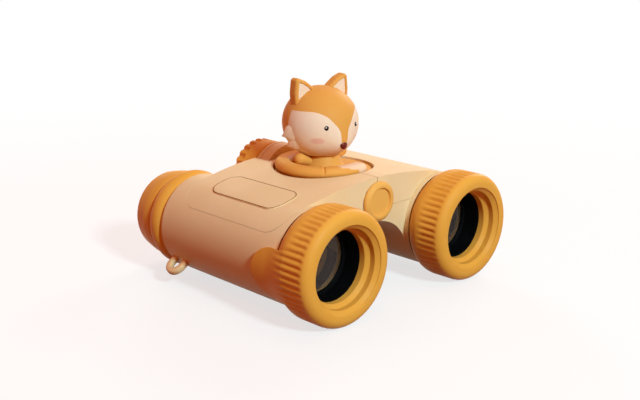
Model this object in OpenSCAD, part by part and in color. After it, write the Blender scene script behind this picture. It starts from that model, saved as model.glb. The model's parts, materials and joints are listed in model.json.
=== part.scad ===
// Folding toy binoculars: two barrels on a centre hinge, a focus wheel that racks both eyepieces,
// and a fox figure that rides on the hinge. Millimetres, +Z up, objectives towards -Y.

/* [Hinge] */
// Distance between the two barrel axes, opened flat
barrel_spacing = 60; // [58:0.5:66]
// Height of the hinge axis above the barrel axes
hinge_rise = 12.1; // [11.8:0.1:13]
// Fold of each half from flat, in degrees
fold_deg = 12; // [6:1:14]
// Radius of the hinge tube that both halves turn on
tube_r = 4.2; // [4:0.1:4.6]
// Length of the front hinge zone, from the bridge's face to the figure's recess
hinge_zone = 7.8; // [7.4:0.1:10]
// Radius of the front hinge cap
cap_r = 6.7; // [6:0.1:7.5]
// Depth of the front hinge cap
cap_l = 1.8; // [1.4:0.1:2.6]
// Radius of the rounded hood over the rear hinge lugs
hood_r = 11.9; // [11:0.1:12.5]
// Length of that hood
hood_l = 6.2; // [6:0.1:8]

/* [Optics] */
// Radius of the clear aperture of an objective
aperture_r = 10.4; // [9.5:0.1:11.5]
// Width of the lens edge that sits on its shoulder
lens_land = 1.7; // [1.2:0.1:2.2]
// Wall of the objective cell round the lens
cell_wall = 2.3; // [1.8:0.1:2.8]
// Distance of the lens shoulder behind the front lip
shoulder_y = 13; // [11:0.5:15]
// Thickness of the objective lens at its edge
lens_t = 3; // [2.5:0.1:4]
// Bulge of each face of the objective lens
lens_bulge = 0.9; // [0.5:0.1:1.3]
// Radius of the sliding eyepiece tube
eye_tube_r = 12.4; // [11.8:0.1:13]
// Thickness of the eye lens at its edge
eye_lens_t = 3.2; // [2.6:0.1:4]

/* [Barrels] */
// Wall of the barrel shells and covers
shell_wall = 1.9; // [1.6:0.1:2.4]
// Length of the shell in front of the cover
front_collar = 1.9; // [1.4:0.1:3]
// Length of the shell behind the cover
rear_collar = 7; // [6:0.1:9]
// Rise of the arched bridge above the barrels
arch_rise = 3.75; // [3.2:0.05:4.5]
// Height of the cover's parting line above the barrel axes
part_z = 9.7; // [9:0.1:10.6]
// Drop of the bridge's underside below the hinge axis
under_drop = 7.1; // [6.4:0.1:7.4]
// Height that the label plate stands proud
label_h = 0.35; // [0.2:0.05:0.6]
// Length of the label plate
label_l = 33; // [25:0.5:38]
// Width of the label plate
label_w = 11.8; // [9.5:0.1:13]

/* [Front rings] */
// Length of a front ring
ring_l = 15.1; // [13.5:0.1:17]
// Height that a ring stands above its barrel
ring_bulge = 2.1; // [1.6:0.1:3]
// Grip ribs round a ring
rib_count = 56; // [24:4:72]
// Depth of the grooves between the ribs
rib_depth = 0.4; // [0.2:0.05:0.6]
// Reach of the thumb tongue behind its ring
tongue_l = 10; // [6:0.5:14]
// Half width of the thumb tongue
tongue_hw = 8.5; // [6:0.5:9.5]

/* [Eyepieces] */
// Length of an eyepiece ring
eye_ring_l = 6.4; // [6:0.1:8]
// Height of an eyepiece ring above its barrel
eye_ring_bulge = 0.4; // [0.2:0.1:1]
// Length of an eyecup behind its ring
cup_l = 10.8; // [9:0.1:13]
// Radius of an eyecup where it leaves its ring
cup_r = 15.3; // [15:0.1:15.6]
// Radius of an eyecup near its rim
cup_rim_r = 14; // [13.4:0.1:14.6]
// Travel of the eyepieces out of the barrels
focus_travel = 4; // [2:0.5:5]

/* [Focus] */
// Radius of the focus wheel
wheel_r = 11.5; // [10.5:0.1:12]
// Finger notches round the wheel
notch_count = 24; // [12:1:36]
// Radius of the focus spindle
spindle_r = 1.8; // [1.5:0.1:2.1]

/* [Figure] */
// Radius of the round recess that the figure sits in
recess_r = 17.2; // [17:0.1:18]
// Radius of the head in plan
head_r = 12.95; // [12:0.05:13.5]
// Half height of the head
head_hh = 12.3; // [11.5:0.1:13]
// Height of the ear tips above the head's middle
ear_rise = 15.6; // [14.5:0.1:17]
// Thickness of the ears
ear_t = 4.4; // [3.5:0.1:5.5]
// Width of the tail's section
tail_w = 5.6; // [4.5:0.1:6]
// Height of the tail's section
tail_h = 3.7; // [3:0.1:4.2]

/* [Straps] */
// Width of a strap loop
loop_w = 7.6; // [6.5:0.1:9]
// Thickness of a strap loop
loop_t = 2.3; // [1.8:0.1:3]
// Radius of the hole in a strap loop
loop_hole_r = 1.6; // [1.2:0.1:2]
// Angle of the strap loops below the horizontal
loop_deg = 37; // [25:1:45]

/* [Hidden] */
$fn = 96;

// Sides of the object, and the colours of its finishes
LEFT = -1;
RIGHT = 1;
SAND = [0.87, 0.72, 0.55];
AMBER = [0.88, 0.63, 0.29];
CREAM = [0.91, 0.80, 0.68];
INK = [0.04, 0.04, 0.05];
GLASS = [0.20, 0.17, 0.17];
STEEL = [0.62, 0.62, 0.64];

// Clearances, and the one overrun that every cut takes
over = 1;
run_fit = 0.06;
seat_gap = 0.05;
part_gap = 0.12;
side_gap = 0.4;
seam = 0.3;
lug_gap = 0.2;

// Optics, from the clear aperture outwards
pocket_r = aperture_r + lens_land;
guide_r = eye_tube_r + run_fit;
cell_r = max(pocket_r + cell_wall, guide_r);
cell_bore = cell_r + seat_gap;
barrel_r = cell_bore + shell_wall;
throat_land = 1;
throat_r = aperture_r + throat_land;
shoulder_t = 1;
retainer_t = 1.9;
cell_tail = 3;
lens_y = shoulder_y + shoulder_t + seat_gap;
retainer_y = lens_y + lens_t + seat_gap;
cell_end = retainer_y + retainer_t + cell_tail;

// Front ring, from its lip backwards
ring_r = barrel_r + ring_bulge;
front_round = 3;
back_round = 6.2;
back_deg = 38;
neck_l = 1.3;
neck_in = 0.3;
lip_t = 0.4;
lip_w = 0.6;
neck_y = ring_l - neck_l;
neck_r = barrel_r - neck_in;
back_y = neck_y - back_round * sin(back_deg);
lip_r = cell_bore - lip_w;
step_r = (lip_r + throat_r) / 2;
step_wall = 1.85;
throat_wall = 2.1;
cone_a = lip_r - step_r;
cone_b = step_r - throat_r;
bezel_y = lip_t + seat_gap;
step_y = bezel_y + cone_a;
cone_y = step_y + step_wall;
throat_y = cone_y + cone_b;
cell_y = throat_y + throat_wall;
tongue_t = 0.9;
tongue_drop = 1.3;
tongue_mid = ring_l + tongue_l - tongue_hw;
rib_cut_r = 0.8;
rib_y = 2.6;

// Body, from the shell's front edge backwards
hx = barrel_spacing / 2;
shell_y = ring_l;
bridge_y = shell_y + front_collar;
recess_y = bridge_y + hinge_zone + recess_r;
hood_y = recess_y + recess_r + side_gap;
bridge_end = hood_y + hood_l + side_gap;
shell_end = bridge_end + rear_collar;
rear_round = 1.6;
end_wall = 1.3;
corner_r = 7;
label_corner = 4.5;
label_out = 1.7;
label_fwd = 0.8;
cup_wall = 1.5;
floor_t = 1.5;
eye_gap = 0.2;
eye_ring_y = shell_end + eye_gap;
cup_y = eye_ring_y + eye_ring_l;
total_l = cup_y + cup_l;
y0 = -total_l / 2;
z_ax = ring_r;
z_hinge = z_ax + hinge_rise;

// Bridge section: a crown arc tangent to both barrels, and a fillet tangent to both below
crown_z = barrel_r + arch_rise;
arch_r = (hx * hx + crown_z * crown_z - barrel_r * barrel_r) / (2 * (crown_z - barrel_r));
arch_z = crown_z - arch_r;
arch_touch_x = -hx * arch_r / (arch_r - barrel_r);
under_z = hinge_rise - under_drop;
fillet_sum = barrel_r + under_z;
fillet_z = (fillet_sum * fillet_sum - hx * hx) / (2 * fillet_sum);
fillet_r = under_z - fillet_z;
touch_share = barrel_r / (barrel_r + fillet_r);

// Hinge lugs, interleaved along the tube
lug_wall = 2;
lug_r = tube_r + lug_wall;
lug_t = (hinge_zone - end_wall - cup_wall - 3 * lug_gap) / 2;
lug_y = bridge_y + end_wall + lug_gap;
hood_wall = 1.2;
hood_shell = 1.7;
hood_seam = 1.4;
hood_groove = 0.3;
rear_lug_r = hood_r - hood_shell - side_gap;
rear_lug_t = (hood_l - 2 * hood_wall - 3 * lug_gap) / 2;
rear_lug_y = hood_y + hood_wall + lug_gap;
fold_margin = 0.8;
gap_deg = fold_deg + fold_margin;
tube_y = bridge_y - lug_gap;
tube_end = hood_y + hood_l;
cap_y = tube_y - cap_l;
cap_rim = 2.2;
cap_dish_r = cap_r - cap_rim;
cap_dish = 0.5;
cap_slope = 0.8;
cap_peg_r = 2.2;
cap_peg_l = 5;

// Focus train, along the hinge axis
wheel_gap = 0.7;
spigot_wall = 1.2;
spigot_r = tube_r - spigot_wall;
spigot_l = 7.2;
arm_t = 2.2;
arm_w = 6.4;
hub_r = 4.4;
collar_t = 0.6;
collar_r = 3.4;
journal_step = 0.36;
journal_r = spindle_r + journal_step;
wheel_y = bridge_end + wheel_gap;
arm_y = cup_y - arm_t - lug_gap / 2;
collar_y = arm_y - lug_gap / 2 - collar_t;
wheel_end = collar_y - lug_gap;
wheel_edge = 0.9;
dish_in = 2.2;
dish_web = 2.4;
dish_hub_r = 4.6;
notch_r = 0.95;
notch_share = 0.42;
spindle_keep = 16;
spindle_lead = spindle_keep + focus_travel;
spindle_y = wheel_y - spindle_lead;
journal_end = arm_y + arm_t + lug_gap / 2;
stud_r = 1.3;
stud_l = 1.3;
button_r = 3.6;
button_t = 1.8;
bore_spare = 1;

// Eyepieces
eye_wall = 1.4;
cup_side = 3;
cup_step = 1.4;
tube_seat_r = cup_r - cup_side;
eye_bore_r = min(eye_tube_r, tube_seat_r) - eye_wall;
eye_ring_r = max(barrel_r + eye_ring_bulge, cup_r + cup_step);
eye_ring_round = 4.5;
eye_ring_mid = eye_ring_y + eye_ring_l / 2;
eye_ring_deg = asin(eye_ring_l / 2 / eye_ring_round);
eye_keep = 6;
eye_tube_lead = eye_keep + focus_travel;
eye_tube_y = bridge_end - eye_tube_lead;
tube_in_cup = 3.6;
eye_tube_end = cup_y + tube_in_cup;
eye_stop = 1;
eye_stop_in = 1.1;
eye_lens_y = eye_tube_end - eye_lens_t - seat_gap - eye_stop;
eye_dent = 0.8;
cup_flange = 1;
cup_hole_in = 2.2;
cup_mouth_in = 1.6;
cup_round = 0.9;
cup_taper_share = 0.3;

// Figure
figure_y = y0 + recess_y;
floor_z = z_hinge + tube_r + side_gap;
plinth_z = floor_z + side_gap;
plinth_t = 1.5;
plinth_top = plinth_z + plinth_t;
plinth_r = recess_r - side_gap - seam;
boss_in = 0.2;
boss_r = tube_r - boss_in;
head_back = 1.5;
head_y = figure_y + head_back;
chin_share = 0.84;
torso_h = 5.57;
chin_z = plinth_top + torso_h;
head_z = chin_z + chin_share * head_hh;
torso_room = 3.1;
torso_base_r = plinth_r - tail_w - torso_room;
torso_top_r = 4.9;
peg_r = 3;
peg_l = 5;
arm_r = 1.4;
arm_tilt = 16;
hand_r = 1.8;
hand_reach = 1.9;
hand_out = torso_base_r + hand_reach;
hand_back = 1.2;
hand_drop = 1;
screw_head_r = 2.4;
screw_head_t = 1.5;
screw_r = 1.2;
screw_l = 5;
tail_r = plinth_r - tail_w / 2;
tail_sweep = 234;
tip_sweep = 6;
tip_start = -76;
head_turn = 7.5;
muzzle_r = 4.9;
muzzle_out = 1.6;
nose_sink = 0.9;
ear_x = 10.2;
ear_base_share = 0.62;
ear_half_w = 5.1;
ear_lean = 0.7;
ear_sink = 4;
ear_tip_r = 1.1;
nose_r = 1.5;
nose_drop = 5.3;
eye_r = 0.8;
eye_deg = 27.5;
eye_lift = 0.3;

// Case screws
boss_share = 0.367;
boss_x = boss_share * hx;
boss_dy = 10;
case_boss_r = 3;
case_screw_r = 1;
case_head_r = 2;
case_head_t = 1.4;
case_seat = 2.2;
screw_seat = part_z - part_gap - case_seat;
case_thread = 3;
head_room = 0.2;

// Places and sections shared by several pieces
function polar(r, a) = r * [cos(a), sin(a)];
function arc(c, r, a, b, n = 8) = [for (i = [0:n]) c + polar(r, a + (b - a) * i / n)];
function head_point(a) = [head_r * cos(a), head_hh * sin(a)];
function head_at(drop) = head_r * sqrt(1 - pow(drop / head_hh, 2));

// Along a barrel's axis, with local z counted from the front lip
module on_barrel() { translate([-hx, y0, z_ax]) rotate([-90, 0, 0]) children(); }

// Along the hinge axis, in the same way
module on_hinge() { translate([0, y0, z_hinge]) rotate([-90, 0, 0]) children(); }

// A section across the barrels, extruded from one distance behind the lip to another
module across(from, to) {
    translate([0, y0 + to, z_ax]) rotate([90, 0, 0]) linear_extrude(to - from) children();
}

// Left pieces as drawn, right pieces mirrored
module sided(side) { mirror([side == RIGHT ? 1 : 0, 0, 0]) children(); }

// A disc on the hinge axis between two distances behind the lip
module hinge_disc(r, from, to) { on_hinge() translate([0, 0, from]) cylinder(r = r, h = to - from); }

// A disc on a barrel's axis
module barrel_disc(r, from, to) { on_barrel() translate([0, 0, from]) cylinder(r = r, h = to - from); }

// Section of the bridge's left half, grown or shrunk by an even amount
module bridge_section(grow = 0) {
    difference() {
        intersection() {
            translate([0, arch_z]) circle(arch_r + grow);
            polygon([
                [arch_touch_x, 0], [arch_touch_x, crown_z + over], [over, crown_z + over], [over, fillet_z],
                [-hx + hx * touch_share, fillet_z * touch_share], [-hx, 0]
            ]);
        }
        translate([0, fillet_z]) circle(fillet_r - grow);
    }
}

// Section of the whole left half
module half_section(grow = 0) {
    translate([-hx, 0]) circle(barrel_r + grow);
    bridge_section(grow);
}

// What a half leaves free at the middle: a seam above the hinge axis, and the fold's wedge below it
module middle_cut() {
    reach = hinge_rise - fillet_z;
    top = crown_z + over + label_h;
    across(bridge_y - over, bridge_end + over) polygon([
        [-seam / 2, top], [-seam / 2, hinge_rise], [-seam / 2 - reach * tan(gap_deg), hinge_rise - reach],
        [2 * over, hinge_rise - reach], [2 * over, top]
    ]);
}

// Space of the top cover, with rounded ends on the outer side, grown by the parting gap
module cover_space(gap) {
    l = bridge_end - bridge_y;
    rise = crown_z + over - part_z;
    translate([-hx - barrel_r - over, y0 + bridge_y, z_ax + part_z]) rotate([90, 0, 90])
        linear_extrude(barrel_r + over + gap) {
            translate([-gap, corner_r]) square([l + 2 * gap, rise - corner_r]);
            translate([corner_r, -gap]) square([l - 2 * corner_r, rise + gap]);
            for (end = [corner_r, l - corner_r]) translate([end, corner_r]) circle(corner_r + gap);
        }
    translate([-hx, y0 + bridge_y - gap, z_ax + part_z - gap])
        cube([hx + 2 * over, l + 2 * gap, rise + gap]);
}

// Where the screws stand that hold a cover to its barrel
module at_bosses() { for (dy = [-boss_dy, boss_dy]) translate([-boss_x, figure_y + dy, z_ax]) children(); }

// First distance of a side's own lug, front and rear
function front_lug(side) = lug_y + (side == LEFT ? 0 : lug_t + lug_gap);
function rear_lug(side) = rear_lug_y + (side == LEFT ? 0 : rear_lug_t + lug_gap);

module web(from, to) {
    intersection() {
        across(from, to) bridge_section();
        translate([-hx, y0, 0]) cube([hx, total_l, z_ax + part_z - part_gap]);
    }
}

// The two hinge lugs of a half, with the webs that carry them
module lugs(side) {
    f = front_lug(side);
    r = rear_lug(side);
    difference() {
        union() {
            web(f, f + lug_t);
            web(r, r + rear_lug_t);
        }
        middle_cut();
    }
    hinge_disc(lug_r, f, f + lug_t);
    hinge_disc(rear_lug_r, r, r + rear_lug_t);
}

module barrel(side) {
    color(SAND) sided(side) difference() {
        union() {
            difference() {
                union() {
                    on_barrel() rotate_extrude() polygon(concat(
                        [[0, shell_y], [barrel_r, shell_y]],
                        arc([barrel_r - rear_round, shell_end - rear_round], rear_round, 0, 90),
                        [[0, shell_end]]
                    ));
                    across(bridge_y, bridge_end) bridge_section();
                }
                difference() {
                    across(bridge_y + end_wall, bridge_end - end_wall) bridge_section(-shell_wall);
                    at_bosses() translate([0, 0, fillet_z]) cylinder(r = case_boss_r, h = part_z - fillet_z);
                }
                cover_space(part_gap);
                middle_cut();
                hinge_disc(lug_r + side_gap, bridge_y + end_wall, recess_y - recess_r);
                hinge_disc(hood_r + side_gap, hood_y - side_gap, bridge_end + over);
            }
            lugs(side);
        }
        barrel_disc(cell_bore, shell_y - over, bridge_end);
        barrel_disc(guide_r, bridge_end - over, shell_end + over);
        hinge_disc(tube_r + run_fit, bridge_y - over, bridge_end + over);
        at_bosses() {
            translate([0, 0, fillet_z]) cylinder(r = case_head_r + head_room, h = screw_seat - fillet_z);
            cylinder(r = case_screw_r + head_room, h = part_z + over);
        }
    }
}

module cover(side) {
    color(SAND) sided(side) difference() {
        intersection() {
            across(bridge_y, bridge_end) half_section();
            cover_space(0);
        }
        difference() {
            across(bridge_y + end_wall, bridge_end - end_wall) bridge_section(-shell_wall);
            translate([0, figure_y, floor_z - floor_t]) cylinder(r = recess_r + cup_wall, h = crown_z);
            at_bosses() translate([0, 0, part_z]) cylinder(r = case_boss_r, h = crown_z - part_z);
        }
        barrel_disc(cell_bore, shell_y, shell_end);
        translate([0, figure_y, floor_z]) cylinder(r = recess_r, h = crown_z);
        translate([-tube_r - side_gap, figure_y - recess_r, z_ax])
            cube([2 * tube_r, 2 * recess_r, floor_z - z_ax + over]);
        hinge_disc(lug_r + side_gap, bridge_y + end_wall, lug_y + 2 * lug_t + 2 * lug_gap);
        hinge_disc(tube_r + side_gap, bridge_y - over, hood_y);
        hinge_disc(hood_r + side_gap, hood_y - side_gap, bridge_end + over);
        middle_cut();
        at_bosses() translate([0, 0, part_z - over])
            cylinder(r = case_screw_r + seat_gap, h = over + case_thread);
    }
}

module case_screws(side) {
    head_top = screw_seat - seat_gap;
    color(STEEL) sided(side) at_bosses() {
        translate([0, 0, head_top - case_head_t]) cylinder(r = case_head_r, h = case_head_t);
        translate([0, 0, head_top]) cylinder(r = case_screw_r, h = part_z + case_thread - screw_seat);
    }
}

module label_plate() {
    color(SAND) intersection() {
        difference() {
            across(bridge_y, bridge_end) half_section(label_h);
            across(bridge_y - over, bridge_end + over) half_section();
        }
        translate([-hx - label_out - label_w / 2, figure_y - label_fwd - label_l / 2, z_ax])
            linear_extrude(crown_z + over) {
                translate([label_corner, 0]) square([label_w - 2 * label_corner, label_l]);
                translate([0, label_corner]) square([label_w, label_l - 2 * label_corner]);
                for (x = [label_corner, label_w - label_corner], y = [label_corner, label_l - label_corner])
                    translate([x, y]) circle(label_corner);
            }
    }
}

module front_ring(side) {
    color(AMBER) sided(side) difference() {
        union() {
            on_barrel() rotate_extrude() polygon(concat(
                [[lip_r, lip_t], [lip_r, 0]],
                arc([ring_r - front_round, front_round], front_round, -90, 0),
                arc([ring_r - back_round, back_y], back_round, 0, back_deg),
                [[neck_r, neck_y], [neck_r, ring_l], [cell_bore, ring_l], [cell_bore, lip_t]]
            ));
            intersection() {
                difference() {
                    barrel_disc(barrel_r + tongue_t, back_y, ring_l + tongue_l);
                    barrel_disc(barrel_r + seat_gap, back_y - over, ring_l + tongue_l + over);
                }
                translate([-hx - ring_r, y0 + tongue_mid, z_ax - tongue_drop]) rotate([90, 0, 90])
                    linear_extrude(ring_r) {
                        circle(tongue_hw);
                        translate([back_y - tongue_mid, -tongue_hw])
                            square([tongue_mid - back_y, 2 * tongue_hw]);
                    }
            }
        }
        on_barrel() for (i = [0:rib_count - 1]) rotate(360 * i / rib_count)
            translate([ring_r + rib_cut_r - rib_depth, 0, rib_y]) cylinder(r = rib_cut_r, h = neck_y - rib_y);
    }
}

module bezel(side) {
    color(AMBER) sided(side) on_barrel() rotate_extrude() polygon([
        [cell_r, bezel_y], [lip_r, bezel_y], [step_r, step_y], [step_r, cone_y], [throat_r, throat_y],
        [throat_r, cell_y], [cell_r, cell_y]
    ]);
}

module objective_cell(side) {
    y = cell_y + seat_gap;
    back = shoulder_y + shoulder_t;
    color(INK) sided(side) on_barrel() rotate_extrude() polygon([
        [throat_r, y], [throat_r, shoulder_y], [aperture_r, shoulder_y], [aperture_r, back], [pocket_r, back],
        [pocket_r, cell_end], [cell_r, cell_end], [cell_r, y]
    ]);
}

module objective_lens(side) {
    rim = aperture_r - seat_gap;
    bend_r = (rim * rim + lens_bulge * lens_bulge) / (2 * lens_bulge);
    bend = asin(rim / bend_r);
    color(GLASS) sided(side) on_barrel() rotate_extrude() polygon(concat(
        arc([0, lens_y - lens_bulge + bend_r], bend_r, -90, -90 + bend),
        [[pocket_r - seat_gap, lens_y], [pocket_r - seat_gap, lens_y + lens_t]],
        arc([0, lens_y + lens_t + lens_bulge - bend_r], bend_r, 90 - bend, 90)
    ));
}

module lens_retainer(side) {
    color(INK) sided(side) difference() {
        barrel_disc(pocket_r - seat_gap, retainer_y, retainer_y + retainer_t);
        barrel_disc(aperture_r, retainer_y - over, retainer_y + retainer_t + over);
    }
}

// Eyepiece ring, one piece with the arm that reaches to the focus spindle
module eye_ring(side) {
    arm_deg = atan2(hinge_rise, hx);
    arm_l = norm([hinge_rise, hx]);
    lap = (arm_t - lug_gap / 2) / 2;
    own = arm_y + (side == LEFT ? 0 : arm_t - lap);
    color(AMBER) sided(side) difference() {
        union() {
            on_barrel() rotate_extrude() polygon(concat(
                [[tube_seat_r, eye_ring_y]],
                arc([eye_ring_r - eye_ring_round, eye_ring_mid], eye_ring_round, -eye_ring_deg, eye_ring_deg),
                [[tube_seat_r, cup_y]]
            ));
            difference() {
                across(arm_y, arm_y + arm_t) translate([-hx, 0]) rotate(arm_deg)
                    translate([0, -arm_w / 2]) square([arm_l, arm_w]);
                hinge_disc(hub_r + side_gap, arm_y - over, arm_y + arm_t + over);
            }
            across(own, own + lap) {
                translate([0, hinge_rise]) circle(hub_r);
                translate([-hx, 0]) rotate(arm_deg) translate([0, -arm_w / 2]) square([arm_l, arm_w]);
            }
        }
        barrel_disc(tube_seat_r + seat_gap, eye_ring_y - over, cup_y + over);
        hinge_disc(journal_r + run_fit, arm_y - over, arm_y + arm_t + over);
    }
}

module eyecup(side) {
    y = cup_y + seat_gap;
    seat = eye_tube_end + seat_gap;
    hole_r = eye_bore_r - cup_hole_in;
    taper_y = cup_y + cup_taper_share * cup_l;
    color(AMBER) sided(side) on_barrel() rotate_extrude() polygon(concat(
        [[tube_seat_r + seat_gap, y], [cup_r, y], [cup_r, taper_y]],
        arc([cup_rim_r - cup_round, total_l - cup_round], cup_round, 0, 90),
        [
            [cup_rim_r - cup_mouth_in, total_l], [hole_r, seat + cup_flange], [hole_r, seat],
            [tube_seat_r + seat_gap, seat]
        ]
    ));
}

// Sliding tube: the guide runs in the barrel, and the narrower seat carries the ring and the cup
module eye_tube(side) {
    stop_r = eye_bore_r - eye_stop_in;
    color(INK) sided(side) on_barrel() rotate_extrude() polygon([
        [eye_bore_r, eye_tube_y], [eye_tube_r, eye_tube_y], [eye_tube_r, eye_ring_y],
        [tube_seat_r, eye_ring_y], [tube_seat_r, eye_tube_end], [eye_bore_r, eye_tube_end],
        [eye_bore_r, eye_lens_y], [stop_r, eye_lens_y], [stop_r, eye_lens_y - eye_stop],
        [eye_bore_r, eye_lens_y - eye_stop]
    ]);
}

module eye_lens(side) {
    rim = eye_bore_r - eye_stop_in;
    bend_r = (rim * rim + eye_dent * eye_dent) / (2 * eye_dent);
    bend = asin(rim / bend_r);
    front = eye_lens_y + seat_gap;
    back = front + eye_lens_t;
    color(GLASS) sided(side) on_barrel() rotate_extrude() polygon(concat(
        arc([0, front + eye_dent - bend_r], bend_r, 90, 90 - bend),
        [[eye_bore_r - seat_gap, front], [eye_bore_r - seat_gap, back]],
        arc([0, back - eye_dent + bend_r], bend_r, -90 + bend, -90)
    ));
}

module strap_loop(side) {
    eye_out = loop_w / 2 - loop_hole_r;
    color(SAND) sided(side) difference() {
        translate([-hx, y0 + bridge_end, z_ax]) rotate([0, 180 - loop_deg, 0])
            linear_extrude(loop_t, center = true) difference() {
                union() {
                    translate([0, -loop_w / 2]) square([barrel_r + eye_out, loop_w]);
                    translate([barrel_r + eye_out, 0]) circle(loop_w / 2);
                }
                translate([barrel_r + eye_out, 0]) circle(loop_hole_r);
            }
        barrel_disc(barrel_r, shell_y, shell_end);
    }
}

module hinge_tube() {
    spigot_end = wheel_y - spigot_l - bore_spare;
    color(STEEL) difference() {
        union() {
            hinge_disc(tube_r, tube_y, tube_end);
            translate([0, figure_y, z_hinge]) cylinder(r = boss_r, h = plinth_z - seat_gap - z_hinge);
        }
        hinge_disc(spigot_r + run_fit, spigot_end, tube_end + over);
        hinge_disc(spindle_r + run_fit, spindle_y - bore_spare, spigot_end + over);
        hinge_disc(cap_peg_r + seat_gap, tube_y - over, tube_y + cap_peg_l);
        translate([0, figure_y, plinth_top - screw_l]) cylinder(r = screw_r + seat_gap, h = screw_l);
    }
}

module hinge_cap() {
    color(AMBER) on_hinge() rotate_extrude() polygon([
        [0, cap_y + cap_dish], [cap_dish_r, cap_y + cap_dish], [cap_dish_r, cap_y],
        [cap_dish_r + cap_slope, cap_y], [cap_r, cap_y + cap_slope], [cap_r, tube_y - seat_gap],
        [cap_peg_r, tube_y - seat_gap], [cap_peg_r, tube_y + cap_peg_l - seat_gap],
        [0, tube_y + cap_peg_l - seat_gap]
    ]);
}

module hinge_hood() {
    end = hood_y + hood_l;
    color(SAND) difference() {
        intersection() {
            difference() {
                hinge_disc(hood_r, hood_y, end);
                hinge_disc(hood_r - hood_shell, hood_y + hood_wall, end - hood_wall);
            }
            translate([-hood_r - over, y0, z_hinge]) cube([2 * (hood_r + over), total_l, hood_r + over]);
        }
        hinge_disc(tube_r + seat_gap, hood_y - over, end + over);
        difference() {
            hinge_disc(hood_r + over, end - hood_seam - hood_groove, end - hood_seam);
            hinge_disc(hood_r - hood_groove, hood_y, end);
        }
    }
}

module focus_wheel() {
    rim_y = wheel_end - notch_share * (wheel_end - wheel_y);
    color(AMBER) on_hinge() difference() {
        rotate_extrude() polygon(concat(
            [[spindle_r + run_fit, wheel_y - spigot_l], [spigot_r, wheel_y - spigot_l], [spigot_r, wheel_y]],
            arc([wheel_r - wheel_edge, wheel_y + wheel_edge], wheel_edge, -90, 0),
            arc([wheel_r - wheel_edge, wheel_end - wheel_edge], wheel_edge, 0, 90),
            [
                [wheel_r - dish_in, wheel_end], [wheel_r - dish_in, wheel_y + dish_web],
                [dish_hub_r, wheel_y + dish_web], [dish_hub_r, wheel_end], [spindle_r + run_fit, wheel_end]
            ]
        ));
        for (i = [0:notch_count - 1]) rotate(360 * (i + 1 / 2) / notch_count)
            translate([wheel_r, 0, rim_y]) cylinder(r = notch_r, h = wheel_end - rim_y + over);
    }
}

module focus_spindle() {
    color(STEEL) on_hinge() rotate_extrude() polygon([
        [0, spindle_y], [spindle_r, spindle_y], [spindle_r, collar_y], [collar_r, collar_y],
        [collar_r, collar_y + collar_t], [journal_r, collar_y + collar_t], [journal_r, journal_end],
        [stud_r, journal_end], [stud_r, journal_end + stud_l], [0, journal_end + stud_l]
    ]);
}

module spindle_cap() {
    y = journal_end + seat_gap;
    color(AMBER) difference() {
        hinge_disc(button_r, y, y + button_t);
        hinge_disc(stud_r + seat_gap, y - over, journal_end + stud_l + seat_gap);
    }
}

module figure_plinth() {
    color(AMBER) difference() {
        translate([0, figure_y, plinth_z]) cylinder(r = plinth_r, h = plinth_t);
        translate([0, figure_y, plinth_z - over]) cylinder(r = screw_r + head_room, h = plinth_t + 2 * over);
    }
}

module figure_screw() {
    color(STEEL) translate([0, figure_y, plinth_top + seat_gap]) {
        cylinder(r = screw_head_r, h = screw_head_t);
        translate([0, 0, -screw_l]) cylinder(r = screw_r, h = screw_l);
    }
}

module fox_torso() {
    h = torso_h - 2 * seat_gap;
    color(AMBER) translate([0, figure_y, plinth_top + seat_gap]) {
        difference() {
            union() {
                cylinder(r1 = torso_base_r, r2 = torso_top_r, h = h);
                for (side = [LEFT, RIGHT]) sided(side) fox_arm();
            }
            translate([0, 0, -over])
                cylinder(r = screw_head_r + head_room, h = over + screw_head_t + head_room);
        }
        translate([0, head_back, h - over]) cylinder(r = peg_r, h = peg_l + over);
    }
}

// One arm, held out under the cheek, with a round hand
module fox_arm() {
    run = hand_out - peg_r;
    translate([-peg_r, hand_back, torso_h - hand_drop - run * tan(arm_tilt)]) rotate([0, arm_tilt - 90, 0]) {
        cylinder(r = arm_r, h = run / cos(arm_tilt));
        translate([0, 0, run / cos(arm_tilt)]) sphere(hand_r);
    }
}

// Section of the tail, flat on the plinth with full rounds
module tail_section() {
    r = tail_h / 2;
    translate([tail_r, r]) {
        for (end = [-1, 1]) translate([end * (tail_w / 2 - r), 0]) circle(r);
        square([tail_w - 2 * r, tail_h], center = true);
    }
}

module fox_tail() {
    color(AMBER) translate([0, figure_y, plinth_top + seat_gap]) rotate(tip_start - tail_sweep)
        rotate_extrude(angle = tail_sweep) tail_section();
}

// The pale tip: a short run of the same section, closed by half a round
module fox_tail_tip() {
    color(CREAM) translate([0, figure_y, plinth_top + seat_gap]) {
        rotate(tip_start) rotate_extrude(angle = tip_sweep) tail_section();
        rotate(tip_start + tip_sweep) translate([tail_r, 0, 0]) rotate_extrude(angle = 180) intersection() {
            translate([-tail_r, 0]) tail_section();
            square([tail_w, tail_h]);
        }
    }
}

// The head's middle, with its face turned a little to the left half's side
module on_head() { translate([0, head_y, head_z]) rotate(-head_turn) children(); }

module fox_head() {
    steps = 24;
    floor_a = asin(chin_share);
    floor_z = chin_z - head_z;
    color(AMBER) on_head() difference() {
        union() {
            rotate_extrude() polygon(concat(
                [[0, floor_z]],
                [for (i = [0:steps]) head_point(-floor_a + (90 + floor_a) * i / steps)]
            ));
            translate([0, muzzle_r - head_at(nose_drop) - muzzle_out, -nose_drop]) rotate([90, 0, 0])
                sphere(muzzle_r);
            for (side = [LEFT, RIGHT]) sided(side) fox_ear();
        }
        translate([0, 0, floor_z - over]) cylinder(r = peg_r + seat_gap, h = peg_l + over + seat_gap);
        at_nose() sphere(nose_r + seat_gap);
        at_eyes() sphere(eye_r + seat_gap);
    }
}

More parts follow.
